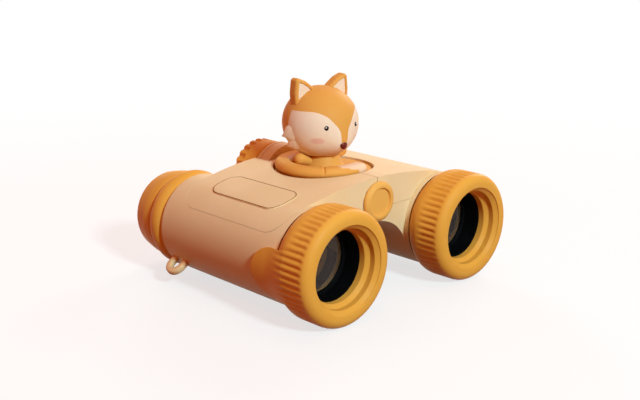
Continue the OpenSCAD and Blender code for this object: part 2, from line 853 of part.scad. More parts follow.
// One ear: a thick triangle that leans out over the side of the head
module fox_ear() {
    base_z = ear_base_share * head_hh - ear_sink;
    root_x = ear_x - ear_half_w;
    tip = [-ear_x, ear_rise - ear_tip_r];
    translate([0, ear_lean + ear_t / 2, 0]) rotate([90, 0, 0]) linear_extrude(ear_t) {
        polygon([
            [-root_x + ear_half_w, base_z + ear_sink], [tip[0] + ear_tip_r, tip[1]],
            [tip[0] - ear_tip_r, tip[1]], [-root_x - ear_half_w, base_z]
        ]);
        translate(tip) circle(ear_tip_r);
    }
}

module at_nose() {
    translate([0, -head_at(nose_drop) - muzzle_out + nose_sink, -nose_drop]) rotate([90, 0, 0]) children();
}

module at_eyes() {
    for (side = [LEFT, RIGHT]) sided(side) translate([0, 0, eye_lift]) rotate(-eye_deg)
        translate([0, -head_at(eye_lift), 0]) children();
}

module fox_nose() { color("saddlebrown") on_head() at_nose() sphere(nose_r); }

module fox_eyes() { color(INK) on_head() at_eyes() sphere(eye_r); }

hinge_tube();
hinge_cap();
hinge_hood();
focus_wheel();
focus_spindle();
spindle_cap();
figure_plinth();
figure_screw();
fox_torso();
fox_tail();
fox_tail_tip();
fox_head();
fox_nose();
fox_eyes();
label_plate();
barrel(LEFT);  // left_barrel
cover(LEFT);  // left_cover
front_ring(LEFT);  // left_front_ring
bezel(LEFT);  // left_bezel
objective_cell(LEFT);  // left_objective_cell
objective_lens(LEFT);  // left_objective_lens
lens_retainer(LEFT);  // left_lens_retainer
eye_ring(LEFT);  // left_eye_ring
eyecup(LEFT);  // left_eyecup
eye_tube(LEFT);  // left_eye_tube
eye_lens(LEFT);  // left_eye_lens
strap_loop(LEFT);  // left_strap_loop
case_screws(LEFT);  // left_case_screws
barrel(RIGHT);  // right_barrel
cover(RIGHT);  // right_cover
front_ring(RIGHT);  // right_front_ring
bezel(RIGHT);  // right_bezel
objective_cell(RIGHT);  // right_objective_cell
objective_lens(RIGHT);  // right_objective_lens
lens_retainer(RIGHT);  // right_lens_retainer
eye_ring(RIGHT);  // right_eye_ring
eyecup(RIGHT);  // right_eyecup
eye_tube(RIGHT);  // right_eye_tube
eye_lens(RIGHT);  // right_eye_lens
strap_loop(RIGHT);  // right_strap_loop
case_screws(RIGHT);  // right_case_screws
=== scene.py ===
"""Folding toy binoculars with a fox figure: moulded details, finishes, light and camera."""

import json
import math

import bmesh
import bpy
from mathutils import Matrix, Vector


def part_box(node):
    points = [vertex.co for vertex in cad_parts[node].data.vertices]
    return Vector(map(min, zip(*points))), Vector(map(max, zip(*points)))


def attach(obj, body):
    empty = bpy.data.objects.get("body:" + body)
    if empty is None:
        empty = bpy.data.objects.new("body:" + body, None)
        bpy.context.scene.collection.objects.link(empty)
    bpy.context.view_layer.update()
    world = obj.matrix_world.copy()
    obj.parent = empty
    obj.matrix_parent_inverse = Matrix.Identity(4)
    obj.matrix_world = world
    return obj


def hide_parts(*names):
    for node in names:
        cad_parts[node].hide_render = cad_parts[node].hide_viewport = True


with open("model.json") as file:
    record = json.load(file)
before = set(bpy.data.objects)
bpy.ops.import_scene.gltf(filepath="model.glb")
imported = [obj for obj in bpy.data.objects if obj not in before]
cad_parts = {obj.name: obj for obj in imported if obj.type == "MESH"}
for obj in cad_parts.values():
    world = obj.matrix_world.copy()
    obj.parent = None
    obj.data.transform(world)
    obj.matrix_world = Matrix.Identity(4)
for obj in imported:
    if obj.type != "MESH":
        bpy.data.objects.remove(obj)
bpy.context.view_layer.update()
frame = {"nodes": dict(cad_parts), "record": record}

MM = 0.001
SIDES = {"left": -1, "right": 1}
ALONG = Vector((0, 1, 0))
UP = Vector((0, 0, 1))
LIP_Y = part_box("left_front_ring")[0].y


def middle(node):
    """The middle of a node's box."""
    low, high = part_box(node)
    return (low + high) / 2


def reach(node, axis):
    """Half the length of a node's box along one axis."""
    low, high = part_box(node)
    return (high[axis] - low[axis]) / 2


def span(node):
    """How far a node's front and back lie behind the plane of the front lips."""
    low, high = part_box(node)
    return low.y - LIP_Y, high.y - LIP_Y


# Places and sizes that the moulded pieces share, read from the frame
BARREL_X = middle("right_bezel").x
BARREL_Z = middle("right_bezel").z
HINGE_Z = middle("hinge_cap").z
BORE_R = reach("left_objective_cell", 2)
BARREL_R = BARREL_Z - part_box("left_barrel")[0].z
RING_R = reach("left_front_ring", 2)
RING_END = span("left_barrel")[0]
TONGUE_END = span("left_front_ring")[1]
FIGURE_Y = middle("figure_plinth").y
PLINTH_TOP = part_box("figure_plinth")[1].z
PLINTH_T = 2 * reach("figure_plinth", 2)
PLINTH_R = reach("figure_plinth", 0)

# Camera, from a fit of the photograph's perspective
VIEW_AZIMUTH = math.radians(44.085)
VIEW_ELEVATION = math.radians(15.884)
VIEW_LENS = 55.974
VIEW_EYE = Vector((-229.3 * MM, LIP_Y - 193.1 * MM, BARREL_Z + 100.8 * MM))

# The figure's place, and the sizes that its shapes and its paint share
FOOT = Vector((0, FIGURE_Y, PLINTH_TOP))
HEAD_R = 12.95 * MM
HEAD_HALF_HEIGHT = 12.3 * MM
HEAD_BACK = 1.5 * MM
HEAD_RISE = 15.9 * MM
HEAD_TURN = math.radians(-7.5)
HEAD = FOOT + Vector((0, HEAD_BACK, HEAD_RISE))
HEAD_PLACE = Matrix.Translation(HEAD) @ Matrix.Rotation(HEAD_TURN, 4, "Z")
TAIL_R = 13.7 * MM
TAIL_W = 5.6 * MM
TAIL_H = 3.7 * MM


def srgb(red, green, blue):
    """A colour as it is seen on screen, as linear values."""
    def linear(v):
        v /= 255
        return v / 12.92 if v <= 0.04045 else ((v + 0.055) / 1.055) ** 2.4
    return (linear(red), linear(green), linear(blue), 1)


def smooth_step(low, high, value):
    """0 below low, 1 above high, and an even curve between."""
    t = min(max((value - low) / (high - low), 0), 1)
    return t * t * (3 - 2 * t)


def bell(value, width):
    """1 at nought, falling evenly to nothing over a few widths."""
    return math.exp(-(value / width) ** 2)


def off_axis(point):
    """How far a point lies from the Y axis."""
    return math.hypot(point.x, point.z)


# Materials

PLASTIC_GRAIN = 2600
GRAIN_DEPTH = 0.012 * MM
GLOW_SPREAD = (1.0, 0.35, 0.12)
GLOW_DEPTH = 1.2 * MM


def skin_group():
    """A surface's skin: slow mottling of its colour, uneven sheen, and a fine eggshell grain."""
    group = bpy.data.node_groups.new("surface_skin", "ShaderNodeTree")
    socket = group.interface.new_socket
    socket("Colour", in_out="INPUT", socket_type="NodeSocketColor")
    socket("Shade", in_out="INPUT", socket_type="NodeSocketColor")
    numbers = {"Mottle Scale": 60, "Grain Scale": PLASTIC_GRAIN, "Sheen Low": 0.4, "Sheen High": 0.55}
    for name, value in numbers.items():
        socket(name, in_out="INPUT", socket_type="NodeSocketFloat").default_value = value
    socket("Colour", in_out="OUTPUT", socket_type="NodeSocketColor")
    socket("Roughness", in_out="OUTPUT", socket_type="NodeSocketFloat")
    socket("Height", in_out="OUTPUT", socket_type="NodeSocketFloat")
    nodes, link = group.nodes, group.links.new
    given = nodes.new("NodeGroupInput")
    put = nodes.new("NodeGroupOutput")
    place = nodes.new("ShaderNodeTexCoord")

    def noise(scale_from, detail):
        node = nodes.new("ShaderNodeTexNoise")
        node.inputs["Detail"].default_value = detail
        link(place.outputs["Object"], node.inputs["Vector"])
        link(given.outputs[scale_from], node.inputs["Scale"])
        return node.outputs["Fac"]

    mottle = noise("Mottle Scale", 3)
    grain = noise("Grain Scale", 2)
    even = nodes.new("ShaderNodeMapRange")
    even.inputs["From Min"].default_value = 0.3
    even.inputs["From Max"].default_value = 0.7
    link(mottle, even.inputs["Value"])
    mix = nodes.new("ShaderNodeMix")
    mix.data_type = "RGBA"
    link(even.outputs["Result"], mix.inputs["Factor"])
    link(given.outputs["Colour"], mix.inputs["A"])
    link(given.outputs["Shade"], mix.inputs["B"])
    link(mix.outputs["Result"], put.inputs["Colour"])
    sheen = nodes.new("ShaderNodeMapRange")
    link(grain, sheen.inputs["Value"])
    link(given.outputs["Sheen Low"], sheen.inputs["To Min"])
    link(given.outputs["Sheen High"], sheen.inputs["To Max"])
    link(sheen.outputs["Result"], put.inputs["Roughness"])
    link(grain, put.inputs["Height"])
    return group


SKIN = skin_group()


def base_material(name):
    """A material with a Principled shader, as (material, nodes, link, shader)."""
    material = bpy.data.materials.new(name)
    material.use_nodes = True
    nodes = material.node_tree.nodes
    return material, nodes, material.node_tree.links.new, nodes["Principled BSDF"]


def skinned(nodes, grain, sheen):
    """The skin placed in a material, with the scale of its grain and the range of its sheen."""
    skin = nodes.new("ShaderNodeGroup")
    skin.node_tree = SKIN
    skin.inputs["Grain Scale"].default_value = grain
    skin.inputs["Sheen Low"].default_value = sheen[0]
    skin.inputs["Sheen High"].default_value = sheen[1]
    return skin


def plastic(name, colour, shade, sheen=(0.42, 0.58), shine=0.09, glow=0.0, paint=None):
    """Moulded plastic or vinyl in two close colours, with grain on its surface and any paint over it."""
    material, nodes, link, shader = base_material(name)
    skin = skinned(nodes, PLASTIC_GRAIN, sheen)
    skin.inputs["Colour"].default_value = colour
    skin.inputs["Shade"].default_value = shade
    bump = nodes.new("ShaderNodeBump")
    bump.inputs["Distance"].default_value = GRAIN_DEPTH
    link(skin.outputs["Height"], bump.inputs["Height"])
    coat = skin.outputs["Colour"]
    if paint:
        coat = paint(nodes, link, coat)
    link(coat, shader.inputs["Base Color"])
    link(skin.outputs["Roughness"], shader.inputs["Roughness"])
    link(bump.outputs["Normal"], shader.inputs["Normal"])
    shader.inputs["Specular IOR Level"].default_value = shine
    if glow:
        shader.inputs["Subsurface Weight"].default_value = glow
        shader.inputs["Subsurface Radius"].default_value = GLOW_SPREAD
        shader.inputs["Subsurface Scale"].default_value = GLOW_DEPTH
    return material


def steel():
    """Turned steel with a fine unevenness in its sheen."""
    material, nodes, link, shader = base_material("turned_steel")
    skin = skinned(nodes, grain=1800, sheen=(0.22, 0.42))
    link(skin.outputs["Roughness"], shader.inputs["Roughness"])
    shader.inputs["Base Color"].default_value = srgb(186, 186, 190)
    shader.inputs["Metallic"].default_value = 1
    return material


def glass():
    """Clear polished lens glass with faint wiping marks in its sheen."""
    material, nodes, link, shader = base_material("lens_glass")
    skin = skinned(nodes, grain=160, sheen=(0.0, 0.02))
    link(skin.outputs["Roughness"], shader.inputs["Roughness"])
    shader.inputs["Base Color"].default_value = srgb(214, 196, 188)
    shader.inputs["Transmission Weight"].default_value = 1
    shader.inputs["IOR"].default_value = 1.7
    return material


# Paint

def sums(nodes, link):
    """A function that works out one sum on numbers or sockets."""
    def sum_of(operation, *values):
        node = nodes.new("ShaderNodeMath")
        node.operation = operation
        for socket, value in zip(node.inputs, values):
            if isinstance(value, (int, float)):
                socket.default_value = value
            else:
                link(value, socket)
        return node.outputs[0]
    return sum_of


def flat_length(sum_of, x, y):
    """The length of a flat run of x and y."""
    return sum_of("SQRT", sum_of("ADD", sum_of("MULTIPLY", x, x), sum_of("MULTIPLY", y, y)))


def edge_mask(nodes, link, value, soft, full=1.0):
    """Rises evenly from nothing to full as a value goes from -soft to soft."""
    ramp = nodes.new("ShaderNodeMapRange")
    ramp.interpolation_type = "SMOOTHSTEP"
    ramp.inputs["From Min"].default_value = -soft
    ramp.inputs["From Max"].default_value = soft
    ramp.inputs["To Max"].default_value = full
    link(value, ramp.inputs["Value"])
    return ramp.outputs["Result"]


def painted(nodes, link, under, colour, mask):
    """A paint of one colour over what is under it, where the mask says."""
    mix = nodes.new("ShaderNodeMix")
    mix.data_type = "RGBA"
    link(mask, mix.inputs["Factor"])
    link(under, mix.inputs["A"])
    mix.inputs["B"].default_value = colour
    return mix.outputs["Result"]


def centred(nodes, link, place, turn=0.0):
    """Coordinates counted from a place, turned about the vertical, as three sockets."""
    where = nodes.new("ShaderNodeTexCoord")
    move = nodes.new("ShaderNodeMapping")
    move.vector_type = "TEXTURE"
    move.inputs["Location"].default_value = place
    move.inputs["Rotation"].default_value = (0, 0, turn)
    split = nodes.new("ShaderNodeSeparateXYZ")
    link(where.outputs["Object"], move.inputs["Vector"])
    link(move.outputs["Vector"], split.inputs["Vector"])
    return split.outputs["X"], split.outputs["Y"], split.outputs["Z"]


# Height in mm of the cheeks' upper edge over the head's middle, by degrees round from the nose
CHEEK_TOP = (
    (0, -5.3), (4, -5.0), (6.5, -1.3), (16.5, 1.9), (30, 4.3), (53.5, 5.4), (92, 5.3), (180, 5.3),
)
CHEEK_CREAM = srgb(244, 223, 199)
CHEEK_SOFT = 0.12 * MM
CHEEK_REAR = math.radians(91.5)
CHEEK_REAR_LEAN = math.radians(0.45) / MM
CHEEK_REAR_SOFT = math.radians(0.6)
BLUSH_PINK = srgb(236, 178, 160)
BLUSH_TURN = math.radians(41)
BLUSH_HALF_W = math.radians(12)
BLUSH_DROP = 4.1 * MM
BLUSH_HALF_H = 1.2 * MM
BLUSH_EDGE = 0.75
BLUSH_SOFT = 0.65
BLUSH_FULL = 0.7


def cheek_edge(nodes, link, sum_of, round_by):
    """Height of the cheeks' upper edge at an angle round from the nose."""
    curve = nodes.new("ShaderNodeFloatCurve")
    points = curve.mapping.curves[0].points
    places = [(degrees / 180, height * MM / HEAD_R / 2 + 0.5) for degrees, height in CHEEK_TOP]
    points[0].location = places[0]
    points[1].location = places[-1]
    for place in places[1:-1]:
        points.new(*place)
    for point in points:
        point.handle_type = "AUTO_CLAMPED"
    curve.mapping.update()
    link(sum_of("DIVIDE", round_by, math.pi), curve.inputs["Value"])
    return sum_of("MULTIPLY", sum_of("SUBTRACT", curve.outputs["Value"], 0.5), 2 * HEAD_R)


def face_paint(nodes, link, under):
    """The pale cheeks with their peak down to the nose, and a blush on each."""
    sum_of = sums(nodes, link)
    x, y, z = centred(nodes, link, HEAD, HEAD_TURN)
    round_by = sum_of("ARCTAN2", sum_of("ABSOLUTE", x), sum_of("MULTIPLY", y, -1.0))
    top = cheek_edge(nodes, link, sum_of, round_by)
    below = edge_mask(nodes, link, sum_of("SUBTRACT", top, z), CHEEK_SOFT)
    rear = sum_of("SUBTRACT", CHEEK_REAR, sum_of("MULTIPLY", z, CHEEK_REAR_LEAN))
    ahead = edge_mask(nodes, link, sum_of("SUBTRACT", rear, round_by), CHEEK_REAR_SOFT)
    cheeks = painted(nodes, link, under, CHEEK_CREAM, sum_of("MULTIPLY", below, ahead))
    across = sum_of("DIVIDE", sum_of("SUBTRACT", round_by, BLUSH_TURN), BLUSH_HALF_W)
    height = sum_of("DIVIDE", sum_of("ADD", z, BLUSH_DROP), BLUSH_HALF_H)
    away = sum_of("ADD", sum_of("MULTIPLY", across, across), sum_of("MULTIPLY", height, height))
    blush = edge_mask(nodes, link, sum_of("SUBTRACT", BLUSH_EDGE, away), BLUSH_SOFT, BLUSH_FULL)
    return painted(nodes, link, cheeks, BLUSH_PINK, blush)


TIP_PALE = srgb(240, 206, 174)
TIP_TURN = math.radians(114)
TIP_SLANT = math.radians(24)
TIP_SOFT = math.radians(1.2)
TIP_FLANK = 2.5 * MM
TOOTH_W = 0.7 * MM
TOOTH_REACH = math.radians(5)


def tail_paint(nodes, link, under):
    """The pale tip of the tail, with a zigzag border that slants over the tail's outer flank."""
    sum_of = sums(nodes, link)
    x, y, z = centred(nodes, link, FOOT)
    round_by = sum_of("ARCTAN2", y, x)
    beyond = sum_of("SUBTRACT", flat_length(sum_of, x, y), TAIL_R)
    outer = sum_of("SUBTRACT", beyond, sum_of("SUBTRACT", z, TAIL_H / 2))
    flank = sum_of("MINIMUM", sum_of("MAXIMUM", sum_of("MULTIPLY", outer, 1 / TIP_FLANK), 0.0), 1.0)
    tooth = sum_of("MULTIPLY", sum_of("PINGPONG", outer, TOOTH_W), TOOTH_REACH / TOOTH_W)
    border = sum_of("ADD", sum_of("MULTIPLY", flank, TIP_SLANT), sum_of("SUBTRACT", tooth, TIP_TURN))
    past = edge_mask(nodes, link, sum_of("SUBTRACT", round_by, border), TIP_SOFT)
    front = sum_of("LESS_THAN", round_by, 0.0)
    return painted(nodes, link, under, TIP_PALE, sum_of("MULTIPLY", past, front))


# Finishes

MOULDED = {"glow": 0.05}
TRIM = {"sheen": (0.38, 0.52), "glow": 0.05}
VINYL = {"sheen": (0.45, 0.6), "glow": 0.08}
FOX_ORANGE = srgb(229, 168, 84)
FOX_SHADE = srgb(225, 161, 76)

SAND = plastic("sand_shell", srgb(236, 211, 168), srgb(233, 205, 158), **MOULDED)
PALE_SAND = plastic("pale_sand", srgb(236, 202, 154), srgb(232, 195, 144), **MOULDED)
# A darker sand painted on the covers' rounded edges and the label's groove walls: painted shade in those
# seams
SEAM_SHADE = plastic("painted_seam_shade", srgb(150, 96, 50), srgb(140, 88, 44))
AMBER = plastic("amber_trim", srgb(232, 171, 72), srgb(229, 165, 64), **TRIM)
# The hinge cap's amber, made a little paler than the trim as painted light for the light on the cap's face
LIT_CAP_AMBER = plastic("cap_amber_painted_light", srgb(236, 181, 94), srgb(233, 175, 86), **TRIM)
COAT = plastic("fox_orange", FOX_ORANGE, FOX_SHADE, **VINYL)
FACE = plastic("fox_face", FOX_ORANGE, FOX_SHADE, paint=face_paint, **VINYL)
TAIL = plastic("fox_tail", FOX_ORANGE, FOX_SHADE, paint=tail_paint, **VINYL)
CREAM = plastic("fox_cream", CHEEK_CREAM, srgb(240, 216, 190), **VINYL)
BLACK = plastic("black_plastic", srgb(7, 7, 8), srgb(5, 5, 6), sheen=(0.4, 0.6), shine=0.06)
JET = plastic("black_gloss", srgb(10, 9, 10), srgb(16, 13, 13), sheen=(0.25, 0.35), shine=0.15)
NOSE = plastic("fox_nose", srgb(112, 26, 12), srgb(98, 20, 9), sheen=(0.3, 0.42), shine=0.2)
# White for the dot painted on each eye as a highlight
HIGHLIGHT_WHITE = plastic("painted_eye_highlight", srgb(250, 248, 244), srgb(244, 240, 236), sheen=(0.2, 0.3))
STEEL = steel()
GLASS = glass()


# Making pieces

WELD = 0.001 * MM
NODE_WELD = 0.002 * MM
FLAT_WITHIN = math.radians(0.5)
HARD_EDGE = math.radians(30)
SECOND_FINISH = 1
THIRD_FINISH = 2


def add_piece(name, bm, materials, body, replaced=(), sharp=35):
    """Turns a bmesh into a piece that rides on a body, with edges over an angle kept sharp."""
    for edge in bm.edges:
        edge.smooth = edge.calc_face_angle(0) < math.radians(sharp)
    for face in bm.faces:
        face.smooth = True
    mesh = bpy.data.meshes.new(name)
    bm.to_mesh(mesh)
    bm.free()
    for material in materials:
        mesh.materials.append(material)
    piece = bpy.data.objects.new(name, mesh)
    bpy.context.scene.collection.objects.link(piece)
    even = piece.modifiers.new("even_shading", "WEIGHTED_NORMAL")
    even.keep_sharp = True
    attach(piece, body)
    if replaced:
        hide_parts(*replaced)


def joined(parts):
    """Several bmeshes as one."""
    whole = bmesh.new()
    for part in parts:
        mesh = bpy.data.meshes.new("part")
        part.to_mesh(mesh)
        part.free()
        whole.from_mesh(mesh)
        bpy.data.meshes.remove(mesh)
    return whole


def arc(centre, radius, start, end, steps):
    """Points along an arc from one angle to another, in degrees."""
    turns = [math.radians(start + (end - start) * k / steps) for k in range(steps + 1)]
    return [Vector(centre) + radius * Vector((math.cos(a), math.sin(a))) for a in turns]


def rounded(points, steps=5):
    """A closed outline whose corners are rounded: each point is (radius, distance, corner radius)."""
    outline = []
    for i, (r, y, fillet) in enumerate(points):
        here = Vector((r, y))
        if not fillet:
            outline.append(here)
            continue
        to_last = (Vector(points[i - 1][:2]) - here).normalized()
        to_next = (Vector(points[(i + 1) % len(points)][:2]) - here).normalized()
        half = to_last.angle(to_next) / 2
        centre = here + (to_last + to_next).normalized() * fillet / math.sin(half)
        start = (here + to_last * fillet / math.tan(half) - centre).normalized()
        end = (here + to_next * fillet / math.tan(half) - centre).normalized()
        outline += [centre + start.slerp(end, k / steps) * fillet for k in range(steps + 1)]
    return outline


def in_mm(points):
    """An outline that was written in millimetres."""
    return [tuple(v * MM for v in point) for point in points]


def closed_line(bm, points):
    """A closed line through points, as its vertices and its edges."""
    verts = [bm.verts.new(point) for point in points]
    edges = [bm.edges.new((verts[i - 1], verts[i])) for i in range(len(verts))]
    return verts, edges


def spun(outline, centre, steps, axis=ALONG):
    """A ring or disc about an axis, from a closed outline of (radius, distance) points."""
    bm = bmesh.new()
    places = [centre + Vector((p[0], 0, 0)) + axis * p[1] for p in outline]
    verts, edges = closed_line(bm, places)
    bmesh.ops.spin(
        bm, geom=verts + edges, cent=centre, axis=axis, angle=2 * math.pi, steps=steps, use_merge=True,
    )
    bmesh.ops.remove_doubles(bm, verts=bm.verts, dist=WELD)
    bmesh.ops.dissolve_degenerate(bm, dist=WELD, edges=bm.edges)
    bmesh.ops.recalc_face_normals(bm, faces=bm.faces)
    return bm


def closed_up(bm):
    """Fills the open ends of a swept shape, and points its faces outwards."""
    bmesh.ops.holes_fill(bm, edges=[e for e in bm.edges if e.is_boundary], sides=0)
    bmesh.ops.recalc_face_normals(bm, faces=bm.faces)


def drawn_out(bm, faces, run):
    """Extrudes faces along a run, and gives the faces at its end."""
    grown = bmesh.ops.extrude_face_region(bm, geom=faces)["geom"]
    ends = [g for g in grown if isinstance(g, bmesh.types.BMVert)]
    bmesh.ops.translate(bm, verts=ends, vec=run)
    return [g for g in grown if isinstance(g, bmesh.types.BMFace)]


def round_edges(bm, edges, width, segments, finish=-1):
    """Rounds edges, with the rounding in a finish of its own where one is given."""
    bmesh.ops.bevel(
        bm, geom=edges, offset=width, offset_type="OFFSET", affect="EDGES", segments=segments,
        profile=0.5, material=finish, clamp_overlap=True,
    )


def turn_about(bm, angle, axis):
    """Turns a bmesh about an axis through the origin."""
    bmesh.ops.rotate(bm, verts=bm.verts, cent=(0, 0, 0), matrix=Matrix.Rotation(angle, 3, axis))


def merged(node):
    """A copy of a CAD node with its loose triangles joined."""
    bm = bmesh.new()
    bm.from_mesh(frame["nodes"][node].data)
    bmesh.ops.remove_doubles(bm, verts=bm.verts, dist=NODE_WELD)
    bmesh.ops.dissolve_limit(bm, angle_limit=FLAT_WITHIN, verts=bm.verts, edges=bm.edges)
    return bm


def softened(node, width, segments=2, finish=-1):
    """A copy of a CAD node with its hard edges rounded."""
    bm = merged(node)
    hard = [e for e in bm.edges if e.is_manifold and e.calc_face_angle() > HARD_EDGE]
    round_edges(bm, hard, width, segments, finish)
    return bm


def axis_of(side):
    """The point where a barrel's axis meets the plane of the front lips."""
    return Vector((SIDES[side] * BARREL_X, LIP_Y, BARREL_Z))


def outward_turn(side, drop):
    """The turn about Y that carries +X to the outer side of a half, and down by an angle."""
    return math.pi - drop if SIDES[side] < 0 else drop


# Shells

# Sand, black for the bore, and the darker sand painted on the covers' rounded edges as shade in the seams
SHELL_FINISHES = [SAND, BLACK, SEAM_SHADE]
COVER_ROUND = 0.2 * MM
BARREL_ROUND = 0.1 * MM
HOOD_ROUND = 0.3 * MM
BORE_SPARE = 0.15 * MM
LABEL_EDGE = 0.03 * MM
LABEL_GROOVE_W = 0.16 * MM
LABEL_GROOVE_DEPTH = 0.15 * MM
UPWARD = 0.8


def barrel_shell(side):
    """A barrel with fine edges, black inside its bore."""
    bm = softened(f"{side}_barrel", BARREL_ROUND)
    centre = axis_of(side)
    for face in bm.faces:
        if off_axis(face.calc_center_median() - centre) < BORE_R + BORE_SPARE:
            face.material_index = SECOND_FINISH
    return bm


def label_plate():
    """The bare plate, with a fine groove inside its edge, whose walls are painted with shade."""
    bm = merged("label_plate")
    top = [f for f in bm.faces if f.normal.z > UPWARD]
    bmesh.ops.inset_region(bm, faces=top, thickness=LABEL_EDGE, depth=0, use_even_offset=True)
    for depth in (-LABEL_GROOVE_DEPTH, LABEL_GROOVE_DEPTH):
        wall = bmesh.ops.inset_region(
            bm, faces=top, thickness=LABEL_GROOVE_W, depth=depth, use_even_offset=True,
        )["faces"]
        # The groove's walls are painted dark, as painted shade in the groove
        for face in wall:
            face.material_index = SECOND_FINISH
    return bm


def shells():
    """Barrels, covers whose rounded edges are painted dark with shade so that the parting line shows, the
    label plate and the hinge hood.
    """
    for side in SIDES:
        body = f"{side}_half"
        # The cover's rounded edges take the darker sand, painted shade that draws the parting line dark
        cover = softened(f"{side}_cover", COVER_ROUND, finish=THIRD_FINISH)
        for part, bm in (("barrel", barrel_shell(side)), ("cover", cover)):
            add_piece(f"{side}_{part}_shell", bm, SHELL_FINISHES, body, [f"{side}_{part}"])
    add_piece("label_plate_bare", label_plate(), [SAND, SEAM_SHADE], "left_half", ["label_plate"])
    hood = softened("hinge_hood", HOOD_ROUND)
    add_piece("hinge_hood_shell", hood, [SAND], "hinge_core", ["hinge_hood"])


# Front rings

# The band, with distances counted from the lip
LIP_R = 13.85 * MM
LIP_T = 0.4 * MM
LIP_ROUND = 0.3 * MM
FRONT_ROUND = 3 * MM
BACK_ROUND = 6.2 * MM
BACK_DEG = 38
BACK_Y = 9.98 * MM
NECK_R = BARREL_R - 0.3 * MM
CROWN_STEPS = 12
# The grip ribs, which run on into the tongue
RIBS = 56
RIB_STEPS = 8
RIB_DEPTH = 0.45 * MM
RIB_POWER = 1.4
RIB_RISE = (1.6 * MM, 3.6 * MM)
RIB_FADE = 6.3 * MM
RIB_END = 10.6 * MM
RIB_SKIN = 0.4 * MM
RIB_FLOOR = 0.1 * MM
# The thumb tongue
TONGUE_RIB_SPARE = 6 * MM
TONGUE_START = 8.8 * MM
TONGUE_HALF = 8.5 * MM
TONGUE_EDGE_SHARES = (0.85, 1.15)
TONGUE_H = 0.95 * MM
TONGUE_DROP = 1.3 * MM
TONGUE_SLOPE = (9 * MM, 19 * MM)
TONGUE_ROUND = 0.5 * MM
TONGUE_STEPS = 24
TONGUE_UNDER = BARREL_R + 0.06 * MM
TONGUE_ARC = TONGUE_HALF / (BARREL_R + TONGUE_H)
TONGUE_RIM = math.radians(50)
CROWN_GAP = 0.01 * MM
TOP_SKIN = 0.2 * MM
# The bezel's steps
MOUTH_R = 12.625 * MM
MOUTH_L = 1.85 * MM
CLEAR_R = 11.4 * MM
STEP_ROUND = 0.3 * MM
BEZEL_CORNER = 0.12 * MM


def rib_shift(side, out):
    """How far the grooves between the grip ribs draw in a point of the ring; they fade to both edges."""
    turn = math.atan2(out.z, SIDES[side] * out.x)
    across = abs(turn + TONGUE_DROP / BARREL_R) * BARREL_R / TONGUE_HALF
    on_tongue = 1 - smooth_step(*TONGUE_EDGE_SHARES, across)
    end = RIB_END + TONGUE_RIB_SPARE * on_tongue
    fade = smooth_step(*RIB_RISE, out.y) * (1 - smooth_step(RIB_FADE, end, out.y))
    return RIB_DEPTH * fade * (0.5 + 0.5 * math.cos(RIBS * turn)) ** RIB_POWER


def ring_band(side, centre):
    """The ring itself, with its grip ribs."""
    run = BACK_Y - FRONT_ROUND
    crown = [Vector((RING_R, FRONT_ROUND + run * k / CROWN_STEPS)) for k in range(1, CROWN_STEPS)]
    outline = (
        [Vector((LIP_R, LIP_T))]
        + arc((LIP_R + LIP_ROUND, LIP_ROUND), LIP_ROUND, 180, 270, 4)
        + arc((RING_R - FRONT_ROUND, FRONT_ROUND), FRONT_ROUND, -90, 0, 12)
        + crown
        + arc((RING_R - BACK_ROUND, BACK_Y), BACK_ROUND, 0, BACK_DEG, 8)
    )
    outline += [
        Vector((NECK_R, outline[-1].y)), Vector((NECK_R, RING_END)),
        Vector((BORE_R, RING_END)), Vector((BORE_R, LIP_T)),
    ]
    bm = spun(outline, centre, RIBS * RIB_STEPS)
    for vert in bm.verts:
        out = vert.co - centre
        flat = Vector((out.x, 0, out.z))
        if flat.length >= BARREL_R:
            vert.co -= flat.normalized() * rib_shift(side, out)
    return bm


def tongue_top(y):
    """Radius of the tongue's top, which falls from the ring's crown to the barrel in one smooth line."""
    rise = RING_R - BARREL_R - TONGUE_H
    return BARREL_R + TONGUE_H + rise * (1 - smooth_step(*TONGUE_SLOPE, y)) - CROWN_GAP


def on_top(vert):
    """Whether a point of the tongue lies clear of its underside."""
    return off_axis(vert.co) > TONGUE_UNDER + TOP_SKIN


def tongue_blank():
    """A strip bent round the barrel's axis towards +X, with a round end and a sloping top."""
    length = TONGUE_END - TONGUE_START
    places = [TONGUE_START + length * k / TONGUE_STEPS for k in range(TONGUE_STEPS + 1)]
    section = [(TONGUE_UNDER, TONGUE_END, 0), (TONGUE_UNDER, TONGUE_START, 0)]
    section += [(tongue_top(y), y, 0) for y in places]
    bm = bmesh.new()
    verts, edges = closed_line(bm, section)
    turn_about(bm, TONGUE_ARC, "Y")
    bmesh.ops.spin(bm, geom=verts + edges, cent=(0, 0, 0), axis=-ALONG, angle=2 * TONGUE_ARC, steps=96)
    closed_up(bm)
    for vert in bm.verts:
        radius = off_axis(vert.co)
        share = max(-1, min(1, math.atan2(vert.co.z, vert.co.x) / TONGUE_ARC))
        even_share = math.sin(share * math.pi / 2)
        turn = TONGUE_ARC * even_share
        across = TONGUE_HALF * even_share
        end = TONGUE_END - TONGUE_HALF + math.sqrt(max(TONGUE_HALF ** 2 - across ** 2, 0))
        y = TONGUE_START + (vert.co.y - TONGUE_START) * (end - TONGUE_START) / length
        vert.co = (radius * math.cos(turn), y, radius * math.sin(turn))
    for vert in bm.verts:
        if on_top(vert):
            lift = tongue_top(vert.co.y) / off_axis(vert.co)
            vert.co *= Vector((lift, 1, lift))
    return bm


